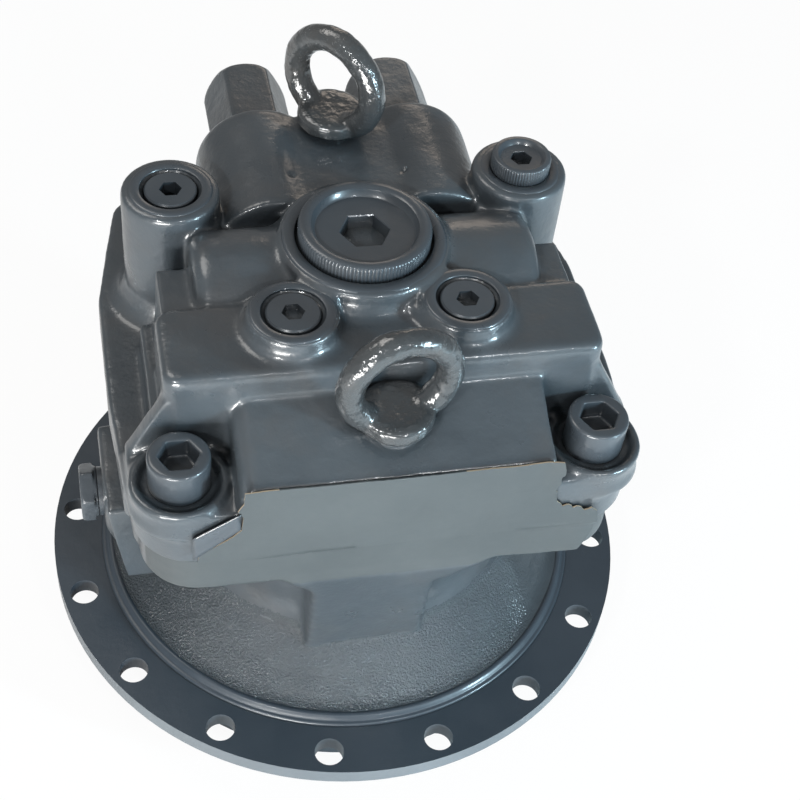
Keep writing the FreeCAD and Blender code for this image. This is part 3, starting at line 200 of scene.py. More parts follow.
def plain_metal(name, colour, rough, metallic=1.0):
    material, tree, shader = new_material(name)
    coords = add_node(tree, "ShaderNodeTexCoord").outputs["Object"]
    scratch = add_noise(tree, coords, 220.0, 3.0, 0.7)
    low = tuple(c * 0.85 for c in colour)
    tree.links.new(add_ramp(tree, scratch, [(0.3, (*low, 1)), (0.7, (*colour, 1))]),
                   shader.inputs["Base Color"])
    tree.links.new(add_ramp(tree, scratch, [(0.3, grey(rough * 0.8)), (0.7, grey(rough * 1.2))]),
                   shader.inputs["Roughness"])
    shader.inputs["Metallic"].default_value = metallic
    return material


CAST = painted("cast_paint", (0.038, 0.047, 0.055), (0.053, 0.064, 0.073), rough=0.33,
               grain_scale=420.0, grain_depth=0.00020, lump_depth=0.0005, coat=0.5, dust=0.2)
FOOT = painted("sand_cast_paint", (0.026, 0.034, 0.040), (0.040, 0.049, 0.056), rough=0.36,
               grain_scale=780.0, grain_depth=0.0016, lump_depth=0.0006, coat=0.8,
               calm=(0.080, 0.105), coat_rough=0.05, gloss=0.12)
SMOOTH = painted("smooth_paint", (0.038, 0.047, 0.056), (0.050, 0.060, 0.070), rough=0.32,
                 grain_scale=260.0, grain_depth=0.00012, lump_depth=0.0003, coat=0.4)
FORGED = painted("forged_paint", (0.026, 0.030, 0.033), (0.046, 0.050, 0.052), rough=0.18,
                 grain_scale=420.0, grain_depth=0.0004, lump_depth=0.0012, coat=0.85, dust=0.3)
FLANGE = painted("flange_paint", (0.024, 0.034, 0.045), (0.032, 0.043, 0.055), rough=0.40,
                 grain_scale=300.0, grain_depth=0.0001, lump_depth=0.0002, coat=0.2)
SHEET = painted("masking_paint", (0.038, 0.046, 0.049), (0.052, 0.061, 0.064), rough=0.48,
                grain_scale=120.0, grain_depth=0.0002, lump_depth=0.0006, coat=0.08)
STEEL = plain_metal("machined_steel", (0.42, 0.42, 0.43), 0.35)
IRON = plain_metal("machined_iron", (0.22, 0.22, 0.23), 0.5)
BRONZE = plain_metal("bronze", (0.50, 0.36, 0.17), 0.35)
RUBBER = plain_metal("seal_rubber", (0.02, 0.02, 0.02), 0.55, 0.0)
PAPER = plain_metal("torn_paper", (0.34, 0.27, 0.19), 0.8, 0.0)
# Painted light: a lighter copy of the flange paint for the flange's outer side, standing in for the low front
# light and floor bounce on it.
LIT_FLANGE_SIDE = painted("flange_side_painted_light", (0.085, 0.100, 0.112), (0.115, 0.132, 0.146), rough=0.42,
               grain_scale=300.0, grain_depth=0.0001, lump_depth=0.0002, coat=0.2)
BY_SLOT = {"cast_paint": CAST, "steel_paint": SMOOTH, "bare_steel": STEEL, "iron": IRON, "bronze": BRONZE,
           "seal": RUBBER}


def dress_nodes():
    slots = {row["node"]: row["material_slot"] for row in frame["record"]["subparts"]}
    for name, node in NODES.items():
        material = BY_SLOT[slots[name]]
        for index in range(len(node.material_slots)):
            node.material_slots[index].material = material
        if not node.material_slots:
            node.data.materials.append(material)


dress_nodes()


def new_piece(name, verts, faces, materials, smooth=True):
    mesh = bpy.data.meshes.new(name)
    mesh.from_pydata([tuple(v) for v in verts], [], [tuple(f) for f in faces])
    mesh.update()
    for material in materials:
        mesh.materials.append(material)
    if smooth:
        mesh.polygons.foreach_set("use_smooth", [True] * len(mesh.polygons))
    piece = bpy.data.objects.new(name, mesh)
    bpy.context.scene.collection.objects.link(piece)
    return piece


def node_mesh(name):
    """Corners (in metres, row frame) and faces of a node."""
    node = NODES[name]
    mesh = node.data
    verts = np.empty(len(mesh.vertices) * 3)
    mesh.vertices.foreach_get("co", verts)
    verts = verts.reshape(-1, 3)
    turn = np.array(node.matrix_world)
    verts = verts @ turn[:3, :3].T + turn[:3, 3]
    return verts, [tuple(face.vertices) for face in mesh.polygons]


def lathe(profile, steps=48, centre=(0, 0)):
    """Turned solid: profile of (radius, z) in millimetres about a vertical axis."""
    verts, faces = [], []
    count = len(profile)
    for i in range(steps):
        a = 2 * math.pi * i / steps
        for r, z in profile:
            verts.append(((centre[0] + r * math.cos(a)) * MM, (centre[1] + r * math.sin(a)) * MM, z * MM))
    for i in range(steps):
        j = (i + 1) % steps
        for k in range(count):
            m = (k + 1) % count
            faces.append((i * count + k, j * count + k, j * count + m, i * count + m))
    return np.array(verts), faces


def beam(corners, left, right):
    """Prism along X of an outline of (y, z) in millimetres."""
    n = len(corners)
    verts = [(x * MM, y * MM, z * MM) for x in (left, right) for y, z in corners]
    faces = [tuple(reversed(range(n))), tuple(range(n, 2 * n))]
    faces += [(i, (i + 1) % n, n + (i + 1) % n, n + i) for i in range(n)]
    return np.array(verts), faces


def slab(corners, low, high):
    """Prism of a plan outline in millimetres."""
    n = len(corners)
    verts = [(x * MM, y * MM, z * MM) for z in (low, high) for x, y in corners]
    faces = [tuple(reversed(range(n))), tuple(range(n, 2 * n))]
    faces += [(i, (i + 1) % n, n + (i + 1) % n, n + i) for i in range(n)]
    return np.array(verts), faces


def skirt(x, y, radius, low, high, spread):
    """Cone at the foot of a boss that the smoothing turns into a fillet."""
    return lathe([(0.5, low), (radius + spread, low), (radius + spread * 0.35, low + (high - low) * 0.35),
                  (radius - 0.5, high), (0.5, high)], 40, (x, y))


def joined(parts):
    verts, faces, start = [], [], 0
    for v, f in parts:
        verts.append(v)
        faces += [tuple(i + start for i in face) for face in f]
        start += len(v)
    return np.concatenate(verts), faces


def voxel_skin(verts, faces, size):
    """One closed skin round all the parts."""
    mesh = bpy.data.meshes.new("skin")
    mesh.from_pydata([tuple(v) for v in verts], [], faces)
    work = bpy.data.objects.new("skin", mesh)
    bpy.context.scene.collection.objects.link(work)
    remesh = work.modifiers.new("skin", "REMESH")
    remesh.mode = "VOXEL"
    remesh.voxel_size = size * MM
    depsgraph = bpy.context.evaluated_depsgraph_get()
    done = bpy.data.meshes.new_from_object(work.evaluated_get(depsgraph))
    out = np.empty(len(done.vertices) * 3)
    done.vertices.foreach_get("co", out)
    loops = np.empty(len(done.loops), dtype=np.int64)
    done.loops.foreach_get("vertex_index", loops)
    totals = np.empty(len(done.polygons), dtype=np.int64)
    done.polygons.foreach_get("loop_total", totals)
    bpy.data.objects.remove(work)
    bpy.data.meshes.remove(mesh)
    bpy.data.meshes.remove(done)
    if not (totals == 4).all():
        raise ValueError("the skin has other faces than quads")
    return out.reshape(-1, 3), loops.reshape(-1, 4)


def smooth_skin(verts, quads, rounds, weight):
    """Moves each corner towards the middle of its neighbours, more where its weight is larger."""
    a = np.concatenate([quads[:, i] for i in range(4)])
    b = np.concatenate([quads[:, (i + 1) % 4] for i in range(4)])
    count = len(verts)
    degree = np.bincount(a, minlength=count) + np.bincount(b, minlength=count)
    degree = np.maximum(degree, 1)[:, None]
    weight = np.asarray(weight)[:, None] * 0.6
    for _ in range(rounds):
        mean = np.stack([np.bincount(a, verts[b, k], count) + np.bincount(b, verts[a, k], count)
                         for k in range(3)], axis=1) / degree
        verts = verts + (mean - verts) * weight
    return verts


def skin_normals(verts, quads):
    p = verts[quads]
    face = np.cross(p[:, 2] - p[:, 0], p[:, 3] - p[:, 1])
    out = np.stack([sum(np.bincount(quads[:, i], face[:, k], len(verts)) for i in range(4))
                    for k in range(3)], axis=1)
    return out / np.maximum(np.linalg.norm(out, axis=1), 1e-12)[:, None]


def field_noise(points, wave, seed):
    """Smooth noise from -1 to 1 with the wave length in millimetres."""
    rng = np.random.default_rng(seed)
    table = rng.uniform(-1, 1, (32, 32, 32))
    q = points / (wave * MM) + 1000.0
    cell = np.floor(q).astype(int)
    f = q - cell
    f = f * f * (3 - 2 * f)
    total = 0
    for dx in (0, 1):
        for dy in (0, 1):
            for dz in (0, 1):
                value = table[(cell[:, 0] + dx) % 32, (cell[:, 1] + dy) % 32, (cell[:, 2] + dz) % 32]
                total = total + value * (f[:, 0] if dx else 1 - f[:, 0]) * (f[:, 1] if dy else 1 - f[:, 1]) \
                    * (f[:, 2] if dz else 1 - f[:, 2])
    return total


def cast_skin(verts, faces, size, rounds, weight, lumps, trim=None):
    """Skin with rounded edges and the lumps of a casting.

    Weight and trim work on the corners in millimetres.
    """
    verts, quads = voxel_skin(verts, faces, size)
    if trim:
        verts = trim(verts / MM) * MM
    share = weight(verts / MM)
    verts = smooth_skin(verts, quads, rounds, share)
    normals = skin_normals(verts, quads)
    bumps = sum(field_noise(verts, wave, seed) * depth for wave, depth, seed in lumps)
    shift = bumps * np.clip(share * 1.4, 0, 1)
    return verts + normals * (shift * MM)[:, None], quads


def ramp(value, low, high):
    return np.clip((value - low) / (high - low), 0.0, 1.0)


def away(points, x, y, inner, outer):
    """0 inside a circle in plan, 1 outside."""
    return ramp(np.hypot(points[:, 0] - x, points[:, 1] - y), inner, outer)


HOUSING = "housing"

# Places of the plugs (x, y, top) and of the front screws; lumps are wave length, depth and seed.
PLUGS = [(-42.5, -46.0, 240.0), (42.5, -46.0, 240.0), (-91.0, 44.0, 243.0), (91.0, 44.0, 243.0)]
BOLTS = [(-102.0, -95.0), (102.0, -95.0)]
CAST_LUMPS = [(26.0, 0.35, 1), (9.0, 0.12, 2), (4.0, 0.04, 3)]

# In metres: the flange's hole circle, and a hole's radius in the solids and under the paint.
HOLE_CIRCLE, DRILLED, PAINTED_HOLE = 0.155, 0.009, 0.008

# Profile (radius, z) of the foot's upper side.
DOME = [(98, 62), (102, 43), (110, 35), (120, 24), (128.5, 15.5), (133.5, 14.5), (136.5, 13.5), (200, 13.5)]

# Seats of the two lifting eyes, and the rounded left edge of the sloping port deck.
FRONT_EYE = (0.0, -93.0, 208.0)
REAR_EYE = (0.0, 96.0, 235.5)
OLD_SEAT_Y = -97.5
SEAT_RADIUS = 20.0
EYE_FOOT = 11.5
DECK_LEFT, DECK_ROUND, DECK_BACK = -76.0, 9.0, -76.6
PITS = [(-27.2, 56.8), (32.2, 56.2)]
PIT_DEPTH, PIT_RADIUS = 1.8, 1.3
LOBE_RADIUS, LOBE_FOOT = 32.0, 104

# In metres: the front rib's sides in the solids, its right side as cast, and the way its left side moves.
RIB_SIDE = (0.031, 0.0346)
RIB_RIGHT, RIB_SHIFT = 0.026, 0.004

# Outlines (y, z) of the deck below the front eye, (radius, z) of the neck and of a screw's seat.
DECK = [(-118.4, 150), (-118.4, 198), (-75, 216), (-60, 216), (-60, 150)]
NECK = [(90, 20), (119.5, 24), (110, 35), (102, 43), (98, 62), (90, 66)]
SCREW_SEAT = [(18.6, 181), (24.4, 181), (24.2, 184.5), (22.6, 185.6), (19.4, 184.6)]


def round_lobes(p, half_width, reach, radius, top):
    """Gives the front corners below a level a larger rounding."""
    dx = np.abs(p[:, 0]) - (half_width - radius)
    dy = -p[:, 1] - (reach - radius)
    far = np.hypot(dx, dy)
    on = (dx > 0) & (dy > 0) & (far > radius) & (p[:, 2] < top) & (p[:, 2] > LOBE_FOOT)
    share = np.where(on, radius / np.maximum(far, 1e-6), 1.0)
    out = p.copy()
    out[:, 0] = np.where(on, np.sign(p[:, 0]) * (half_width - radius + dx * share), p[:, 0])
    out[:, 1] = np.where(on, -(reach - radius + dy * share), p[:, 1])
    return out


def valve_trim(p):
    """Rounder front corners, the front eye's seat further back, the deck's rounded left edge."""
    p = round_lobes(p, 125.5, 118.0, LOBE_RADIUS, 165.0)
    deck = np.interp(p[:, 1], [-118.5, -75.0], [198.0, 216.0])
    old = np.hypot(p[:, 0], p[:, 1] - OLD_SEAT_Y) < SEAT_RADIUS + 1.5
    gap = np.hypot(p[:, 0], p[:, 1] - FRONT_EYE[1])
    on = (old | (gap < SEAT_RADIUS)) & (p[:, 1] < DECK_BACK) & (p[:, 2] > 190)
    seat = np.where(gap < SEAT_RADIUS, np.minimum(deck, FRONT_EYE[2]), deck)
    limit = np.where(gap < EYE_FOOT + 0.1, FRONT_EYE[2], seat)
    p[:, 2] = np.where(on, np.minimum(p[:, 2], limit), p[:, 2])
    inward = np.clip(DECK_LEFT + DECK_ROUND - p[:, 0], 0, DECK_ROUND)
    shoulder = deck - DECK_ROUND + np.sqrt(DECK_ROUND ** 2 - inward ** 2)
    on = (p[:, 0] < DECK_LEFT + DECK_ROUND) & (p[:, 0] > DECK_LEFT - 0.6)
    on &= (p[:, 1] < DECK_BACK) & (p[:, 2] > 186)
    p[:, 2] = np.where(on, np.minimum(p[:, 2], shoulder), p[:, 2])
    return p


def add_pits(verts):
    """Two blowholes in the top of the rear block."""
    for x, y in PITS:
        far = np.hypot(verts[:, 0] / MM - x, verts[:, 1] / MM - y)
        verts[:, 2] -= np.where(verts[:, 2] > 0.225, PIT_DEPTH * MM * np.exp(-(far / PIT_RADIUS) ** 2), 0)
    return verts


def motor_trim(p):
    """Front corners, and the front part of the side pad, which leans in."""
    p = round_lobes(p, 122.5, 115.0, LOBE_RADIUS, 147.9)
    lean = -np.interp(p[:, 2], [40.0, 100.0], [127.0, 136.0])
    on = (p[:, 1] > -46.5) & (p[:, 1] < -29.0) & (p[:, 0] < -112)
    on &= (p[:, 2] > 38.0) & (p[:, 2] < 101.5)
    p[:, 0] = np.where(on, np.maximum(p[:, 0], lean), p[:, 0])
    return p


def shift_rib(verts):
    """The front rib of the motor casing stands left of the shaft."""
    low = (verts[:, 1] < -0.086) & (verts[:, 2] > 0.028) & (verts[:, 2] < 0.1045)
    side = np.abs(verts[:, 0])
    edge = low & (side > RIB_SIDE[0]) & (side < RIB_SIDE[1])
    out = verts.copy()
    out[edge & (verts[:, 0] > 0), 0] = RIB_RIGHT
    out[edge & (verts[:, 0] < 0), 0] -= RIB_SHIFT
    return out


def valve_weight(p):
    """Machined seats stay crisp, cast edges go round."""
    keep = np.ones(len(p))
    for x, y, top in PLUGS:
        near_top = ramp(np.abs(p[:, 2] - top), 1.2, 4.0)
        keep = np.minimum(keep, np.maximum(away(p, x, y, 17.5, 21.5), near_top))
        keep = np.minimum(keep, np.maximum(away(p, x, y, 16.2, 17.5), 0.05))
    keep = np.minimum(keep, np.maximum(away(p, 0, 0, 37.0, 41.0), 0.08))
    for x, y in BOLTS:
        keep = np.minimum(keep, np.maximum(away(p, x, y, 16.0, 20.0), 0.25))
    for y in (FRONT_EYE[1], REAR_EYE[1]):
        keep = np.minimum(keep, np.maximum(away(p, 0, y, 16.0, 20.0), 0.3))
    joint_edge = ramp(p[:, 2], 148.5, 152.0)
    return np.maximum(keep * (0.3 + 0.7 * joint_edge), 0.03)


def add_valve_casing():
    verts, faces = node_mesh("valve_casing")
    extras = [
        skirt(-42.5, -46, 22.5, 229.5, 236, 6), skirt(42.5, -46, 22.5, 229.5, 235, 6),
        skirt(0, 0, 43, 229, 238.5, 8), skirt(-91, 44, 25, 171, 186, 10), skirt(91, 44, 25, 171, 186, 10),
        slab([(-112, -70), (-104, -70), (-104, 2), (-112, 2)], 165, 192),
        lathe(SCREW_SEAT, 48, BOLTS[0]), lathe(SCREW_SEAT, 48, BOLTS[1]),
        slab([(-82, 24), (-68, 24), (-66, 60), (-82, 60)], 171, 226),
        slab([(66, 24), (84, 24), (84, 60), (68, 60)], 171, 229),
        beam(DECK, -22, 22), slab([(-37, 34), (45, 34), (45, 107), (-37, 107)], 172, 235),
        lathe([(0.5, 190), (EYE_FOOT, 190), (EYE_FOOT, 208), (0.5, 208)], 48, FRONT_EYE[:2]),
        lathe([(0.5, 210), (SEAT_RADIUS, 210), (SEAT_RADIUS, 235.5), (0.5, 235.5)], 48, REAR_EYE[:2]),
    ]
    verts, faces = joined([(verts, faces)] + extras)
    verts, quads = cast_skin(verts, faces, 1.25, 7, valve_weight, CAST_LUMPS, valve_trim)
    piece = new_piece("valve_casting", add_pits(verts), quads, [CAST])
    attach(piece, HOUSING)
    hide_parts("valve_casing")
    seats = []
    for x, y, top in PLUGS:
        seats.append(lathe([(15.6, top - 2.2), (15.6, top + 0.1), (16.0, top + 0.35), (20.0, top + 0.35),
                            (21.2, top - 0.2), (21.0, top - 1.5), (17.0, top - 2.2)], 72, (x, y)))
    seats.append(lathe([(34.6, 240.2), (34.6, 243.0), (35.0, 243.3), (39.5, 243.3), (41.2, 242.6),
                        (41.0, 241.4), (37.0, 240.2)], 120, (0, 0)))
    seat = new_piece("plug_seats", *joined(seats), [SMOOTH])
    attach(seat, HOUSING)


def motor_weight(p):
    """The joint and the foot keep their lines, the neck goes round."""
    joint_edge = ramp(148.0 - p[:, 2], 0.5, 4.0)
    foot = ramp(p[:, 2], 11.0, 16.0)
    pad = np.maximum(ramp(np.hypot(p[:, 1] + 12, p[:, 2] - 78), 14.0, 18.0), 0.15)
    pad = np.where(p[:, 0] < -120, pad, 1.0)
    return np.maximum((0.3 + 0.7 * joint_edge) * (0.35 + 0.65 * foot) * pad, 0.03)


def tighter_holes(verts):
    """The flange holes look 16 mm wide in the photograph."""
    out = verts.copy()
    for k in range(16):
        a = math.pi * (2 * k + 1) / 16
        middle = np.array([math.cos(a), math.sin(a)]) * HOLE_CIRCLE
        reach = np.hypot(verts[:, 0] - middle[0], verts[:, 1] - middle[1])
        on = np.abs(reach - DRILLED) < 0.0002
        out[on, :2] = middle + (verts[on, :2] - middle) * (PAINTED_HOLE / DRILLED)
    return out


def add_motor_casing():
    verts, faces = node_mesh("motor_casing")
    flat = []
    for face in faces:
        corner = verts[list(face)] / MM
        middle = corner.mean(axis=0)
        if corner[:, 2].max() < 10.05 and np.hypot(middle[0], middle[1]) > 30:
            flat.append(face)
    ring = new_piece("flange_ring", tighter_holes(verts), flat, [FLANGE, LIT_FLANGE_SIDE], smooth=False)
    tidy = bmesh.new()
    tidy.from_mesh(ring.data)
    loose = [v for v in tidy.verts if not v.link_faces]
    bmesh.ops.delete(tidy, geom=loose, context="VERTS")
    bmesh.ops.remove_doubles(tidy, verts=tidy.verts, dist=1e-6)
    for edge in tidy.edges:
        edge.smooth = len(edge.link_faces) != 2 or edge.calc_face_angle(0.0) < math.radians(30)
    for face in tidy.faces:
        face.smooth = True
        spot = face.calc_center_median() / MM
        # Faces on the flange's outer side take the lighter copy of the flange paint, which is painted light.
        face.material_index = int(abs(face.normal.z) < 0.5 and math.hypot(spot.x, spot.y) > 166)
    tidy.to_mesh(ring.data)
    tidy.free()
    extras = [slab([(-24, -99), (20, -99), (20, -60), (-24, -60)], 20, 44), lathe(NECK, 120)]
    verts, faces = joined([(shift_rib(verts), faces)] + extras)
    verts, quads = cast_skin(verts, faces, 1.5, 7, motor_weight, CAST_LUMPS, motor_trim)
    p = verts / MM
    radius = np.hypot(p[:, 0], p[:, 1])
    drop = (p[:, 2] < 9.0) | ((p[:, 2] < 14.0) & (radius > 135.0))
    quads = quads[~drop[quads].any(axis=1)]
    used = np.unique(quads)
    index = np.full(len(verts), -1)
    index[used] = np.arange(len(used))
    piece = new_piece("motor_casting", verts[used], index[quads], [CAST, FOOT, SHEET])
    middle = p[quads].mean(axis=1)
    reach = np.hypot(middle[:, 0], middle[:, 1])
    dome = np.interp(reach, *zip(*DOME))
    on_foot = (middle[:, 2] < dome + 1.5) & (reach > 100.5)
    on_band = (middle[:, 2] > 119) & (middle[:, 1] < -96)
    piece.data.polygons.foreach_set("material_index", on_foot * 1 + on_band * 2)
    step = new_piece("foot_step", *lathe([
        (131.5, 10.02), (139.8, 10.02), (139.5, 11.2), (138.6, 12.0), (137.7, 11.8), (137.0, 12.6),
        (136.0, 14.2), (134.8, 14.9), (133.4, 14.8), (131.5, 13.6)], 300), [FLANGE])
    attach(step, HOUSING)
    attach(ring, HOUSING)
    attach(piece, HOUSING)
    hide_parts("motor_casing")


def add_soft_copy(node, name, size, rounds, material, lumps, weight=lambda p: np.ones(len(p))):
    """A node with its edges rounded by thick paint."""
    verts, faces = node_mesh(node)
    verts, quads = cast_skin(verts, faces, size, rounds, weight, lumps)
    piece = new_piece(name, verts, quads, [material])
    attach(piece, HOUSING)
    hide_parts(node)


def knurled(profile, teeth, rows, depth, centre, around=6):
    """Turned piece whose marked profile rows carry fine teeth; the profile starts and ends on the axis."""
    steps = teeth * around
    verts, faces = [], []
    count = len(profile)
    for i in range(steps):
        a = 2 * math.pi * i / steps
        bite = depth * max(0.0, math.cos(a * teeth) * 0.9) ** 0.7
        for k, (r, z) in enumerate(profile):
            r = r - bite if k in rows else r
            verts.append(((centre[0] + r * math.cos(a)) * MM, (centre[1] + r * math.sin(a)) * MM, z * MM))
    for i in range(steps):
        j = (i + 1) % steps
        for k in range(count - 1):
            faces.append((i * count + k, j * count + k, j * count + k + 1, i * count + k + 1))
    faces.append(tuple(i * count for i in reversed(range(steps))))
    return verts, faces


def hexagon_socket(across, low, high, centre, lip):
    """Walls and floor of a hexagon socket with a small bevelled lip."""
    verts, faces = [], []
    for level, size in ((high + 0.02, across / math.sqrt(3) + lip), (high - lip, across / math.sqrt(3)),
                        (low, across / math.sqrt(3))):
        for i in range(6):
            a = math.pi / 3 * i
            spot = (centre[0] + size * math.cos(a), centre[1] + size * math.sin(a), level)
            verts.append(tuple(c * MM for c in spot))
    for row in (0, 6):
        for i in range(6):
            j = (i + 1) % 6
            faces.append((row + i, row + 6 + i, row + 6 + j, row + j))
    faces.append(tuple(12 + i for i in range(6)))
    return verts, faces


def round_with_socket(node, name, profile, teeth, rows, depth, centre, across, floor, lip=0.5):
    """Knurled plug: turned skin down to a flat ring, which a hexagon socket breaks."""
    verts, faces = knurled(profile, teeth, rows, depth, centre)
    count = len(profile)
    steps = len(verts) // count
    top = profile[-1][1]
    ring = [i * count + count - 1 for i in range(steps)]
    socket, walls = hexagon_socket(across, floor, top, centre, lip)
    start = len(verts)
    verts = list(verts) + list(socket)
    faces = list(faces) + [tuple(i + start for i in face) for face in walls]
    share = steps // 6
    for side in range(6):
        arc = [ring[(side * share + k) % steps] for k in range(share + 1)]
        half = share // 2
        for k in range(half):
            faces.append((arc[k], arc[k + 1], start + side))
        faces.append((arc[half], start + (side + 1) % 6, start + side))
        for k in range(half, share):
            faces.append((arc[k], arc[k + 1], start + (side + 1) % 6))
    piece = new_piece(name, verts, faces, [SMOOTH], smooth=False)
    mesh = bmesh.new()
    mesh.from_mesh(piece.data)
    bmesh.ops.recalc_face_normals(mesh, faces=mesh.faces)
    for edge in mesh.edges:
        edge.smooth = len(edge.link_faces) == 2 and edge.calc_face_angle(0.0) < math.radians(35)
    for face in mesh.faces:
        face.smooth = True
    mesh.to_mesh(piece.data)
    mesh.free()
    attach(piece, HOUSING)
    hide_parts(node)


def add_plugs():
    round_with_socket("center_plug", "centre_plug_head", [
        (30.0, 215.0), (30.0, 240.1), (33.0, 240.1), (33.2, 241.0), (33.2, 249.0), (32.6, 250.3),
        (31.6, 251.0), (28.2, 251.0), (26.8, 250.3), (25.6, 247.2), (24.8, 246.5), (18.0, 246.4)],
        110, (3, 4), 0.55, (0, 0), 22.0, 236.0)
    round_with_socket("corner_plug_rear_right", "corner_plug_head", [
        (13.2, 224.0), (13.2, 243.0), (15.3, 243.0), (15.6, 243.8), (15.6, 250.6), (15.1, 251.6),
        (14.4, 252.0), (12.6, 252.0), (11.6, 251.2), (10.6, 249.7), (8.4, 249.5)],
        66, (3, 4), 0.5, (91.0, 44.0), 10.0, 243.0, 0.3)


# Profile (radius, height above the seat) of a lifting eye's collar, and its ring.
EYE_STEM = [(0.5, -12), (8, -12), (8, -1), (13, -1), (13.5, 3), (18.5, 4), (18.5, 10.5), (17, 12), (14, 12.8),
            (0.5, 12.8)]
EYE_RING, EYE_BAR, EYE_RISE = 25.0, 7.0, 29.0


def add_eye(node, name, at, turn, lumps):
    """Lifting eye: forged collar and ring, turned about its thread."""
    stem = lathe([(r, at[2] + z) for r, z in EYE_STEM], 64, at[:2])
    profile = [(EYE_RING + EYE_BAR * math.cos(a), EYE_BAR * math.sin(a))
               for a in np.linspace(0, 2 * math.pi, 24, False)]
    verts, faces = lathe(profile, 72)
    spin = Matrix.Rotation(math.radians(turn), 3, "Z") @ Matrix.Rotation(math.radians(90), 3, "X")
    verts = verts @ np.array(spin).T + np.array([at[0], at[1], at[2] + EYE_RISE]) * MM
    verts, faces = joined([stem, (verts, faces)])
    verts, quads = cast_skin(verts, faces, 0.8, 7, lambda p: np.ones(len(p)), lumps)
    piece = new_piece(name, verts, quads, [FORGED])
    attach(piece, HOUSING)
    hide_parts(node)


def add_fasteners():
    edge = [(10.0, 0.08, 5), (3.0, 0.04, 6)]
    add_soft_copy("casing_bolts_front", "front_screws", 0.6, 4, SMOOTH, edge)
    forged = [(14.0, 0.45, 7), (5.0, 0.20, 8), (2.4, 0.15, 9)]
    add_eye("eye_bolt_front", "front_eye", FRONT_EYE, 10.0, forged)
    add_eye("eye_bolt_rear", "rear_eye", REAR_EYE, -48.0, forged)
    add_soft_copy("relief_valve_left", "relief_cap_left", 0.9, 3, CAST, edge)
    add_soft_copy("relief_valve_right", "relief_cap_right", 0.9, 3, CAST, edge)
    add_soft_copy("drain_plug", "drain_head", 0.6, 3, SMOOTH, edge)


# Outline (x, z) of the masking sheet, and where its ends start to bend round the front corners.
BEND_START, BEND_WIDTH, BEND_DEPTH = 96.0, 29.5, 23.5
SHEET_EDGE = [
    (-74.5, 199.2), (-60, 199.4), (-30, 199.0), (0, 199.3), (30, 199.2), (60, 199.5), (77.6, 200.8),
    (79.4, 192.7), (78.0, 188.4), (78.6, 185.2), (77.2, 181.0), (77.6, 177.6), (78.6, 173.0), (79.2, 169.5),
    (81.6, 167.0), (83.0, 164.6), (86.4, 165.4), (88.6, 162.6), (91.7, 163.4), (95.0, 160.0), (98.7, 161.6),
    (102.0, 158.0), (104.0, 150.0), (103.6, 140.0), (101.0, 131.0), (98.0, 124.6), (79.0, 122.6),
    (60.0, 122.0), (58.0, 141.0), (30.0, 143.6), (3.0, 145.2), (-32.0, 146.6), (-63.9, 147.6),
    (-90.0, 149.6), (-96.4, 150.6), (-95.4, 155.2), (-80.0, 167.6), (-75.6, 172.4), (-75.0, 182.4),
    (-77.6, 186.4), (-74.8, 191.6),
]


def sheet_depth(x, z):
    """How far in front of the shaft the sheet lies, in millimetres: it follows the two castings below it."""
    y = 119.5 - (4.2 - 1.8 * ramp(x, 60.0, 94.0)) * ramp(147.6 - z, 0.0, 2.5)
    right = np.maximum(x - BEND_START, 0.0) / BEND_WIDTH
    left = np.maximum(-x - BEND_START, 0.0) / BEND_WIDTH
    bend = BEND_DEPTH * (1 - np.sqrt(np.clip(1 - right ** 2, 0, 1)))
    bend = bend + BEND_DEPTH * (1 - np.sqrt(np.clip(1 - left ** 2, 0, 1)))
    return y - bend


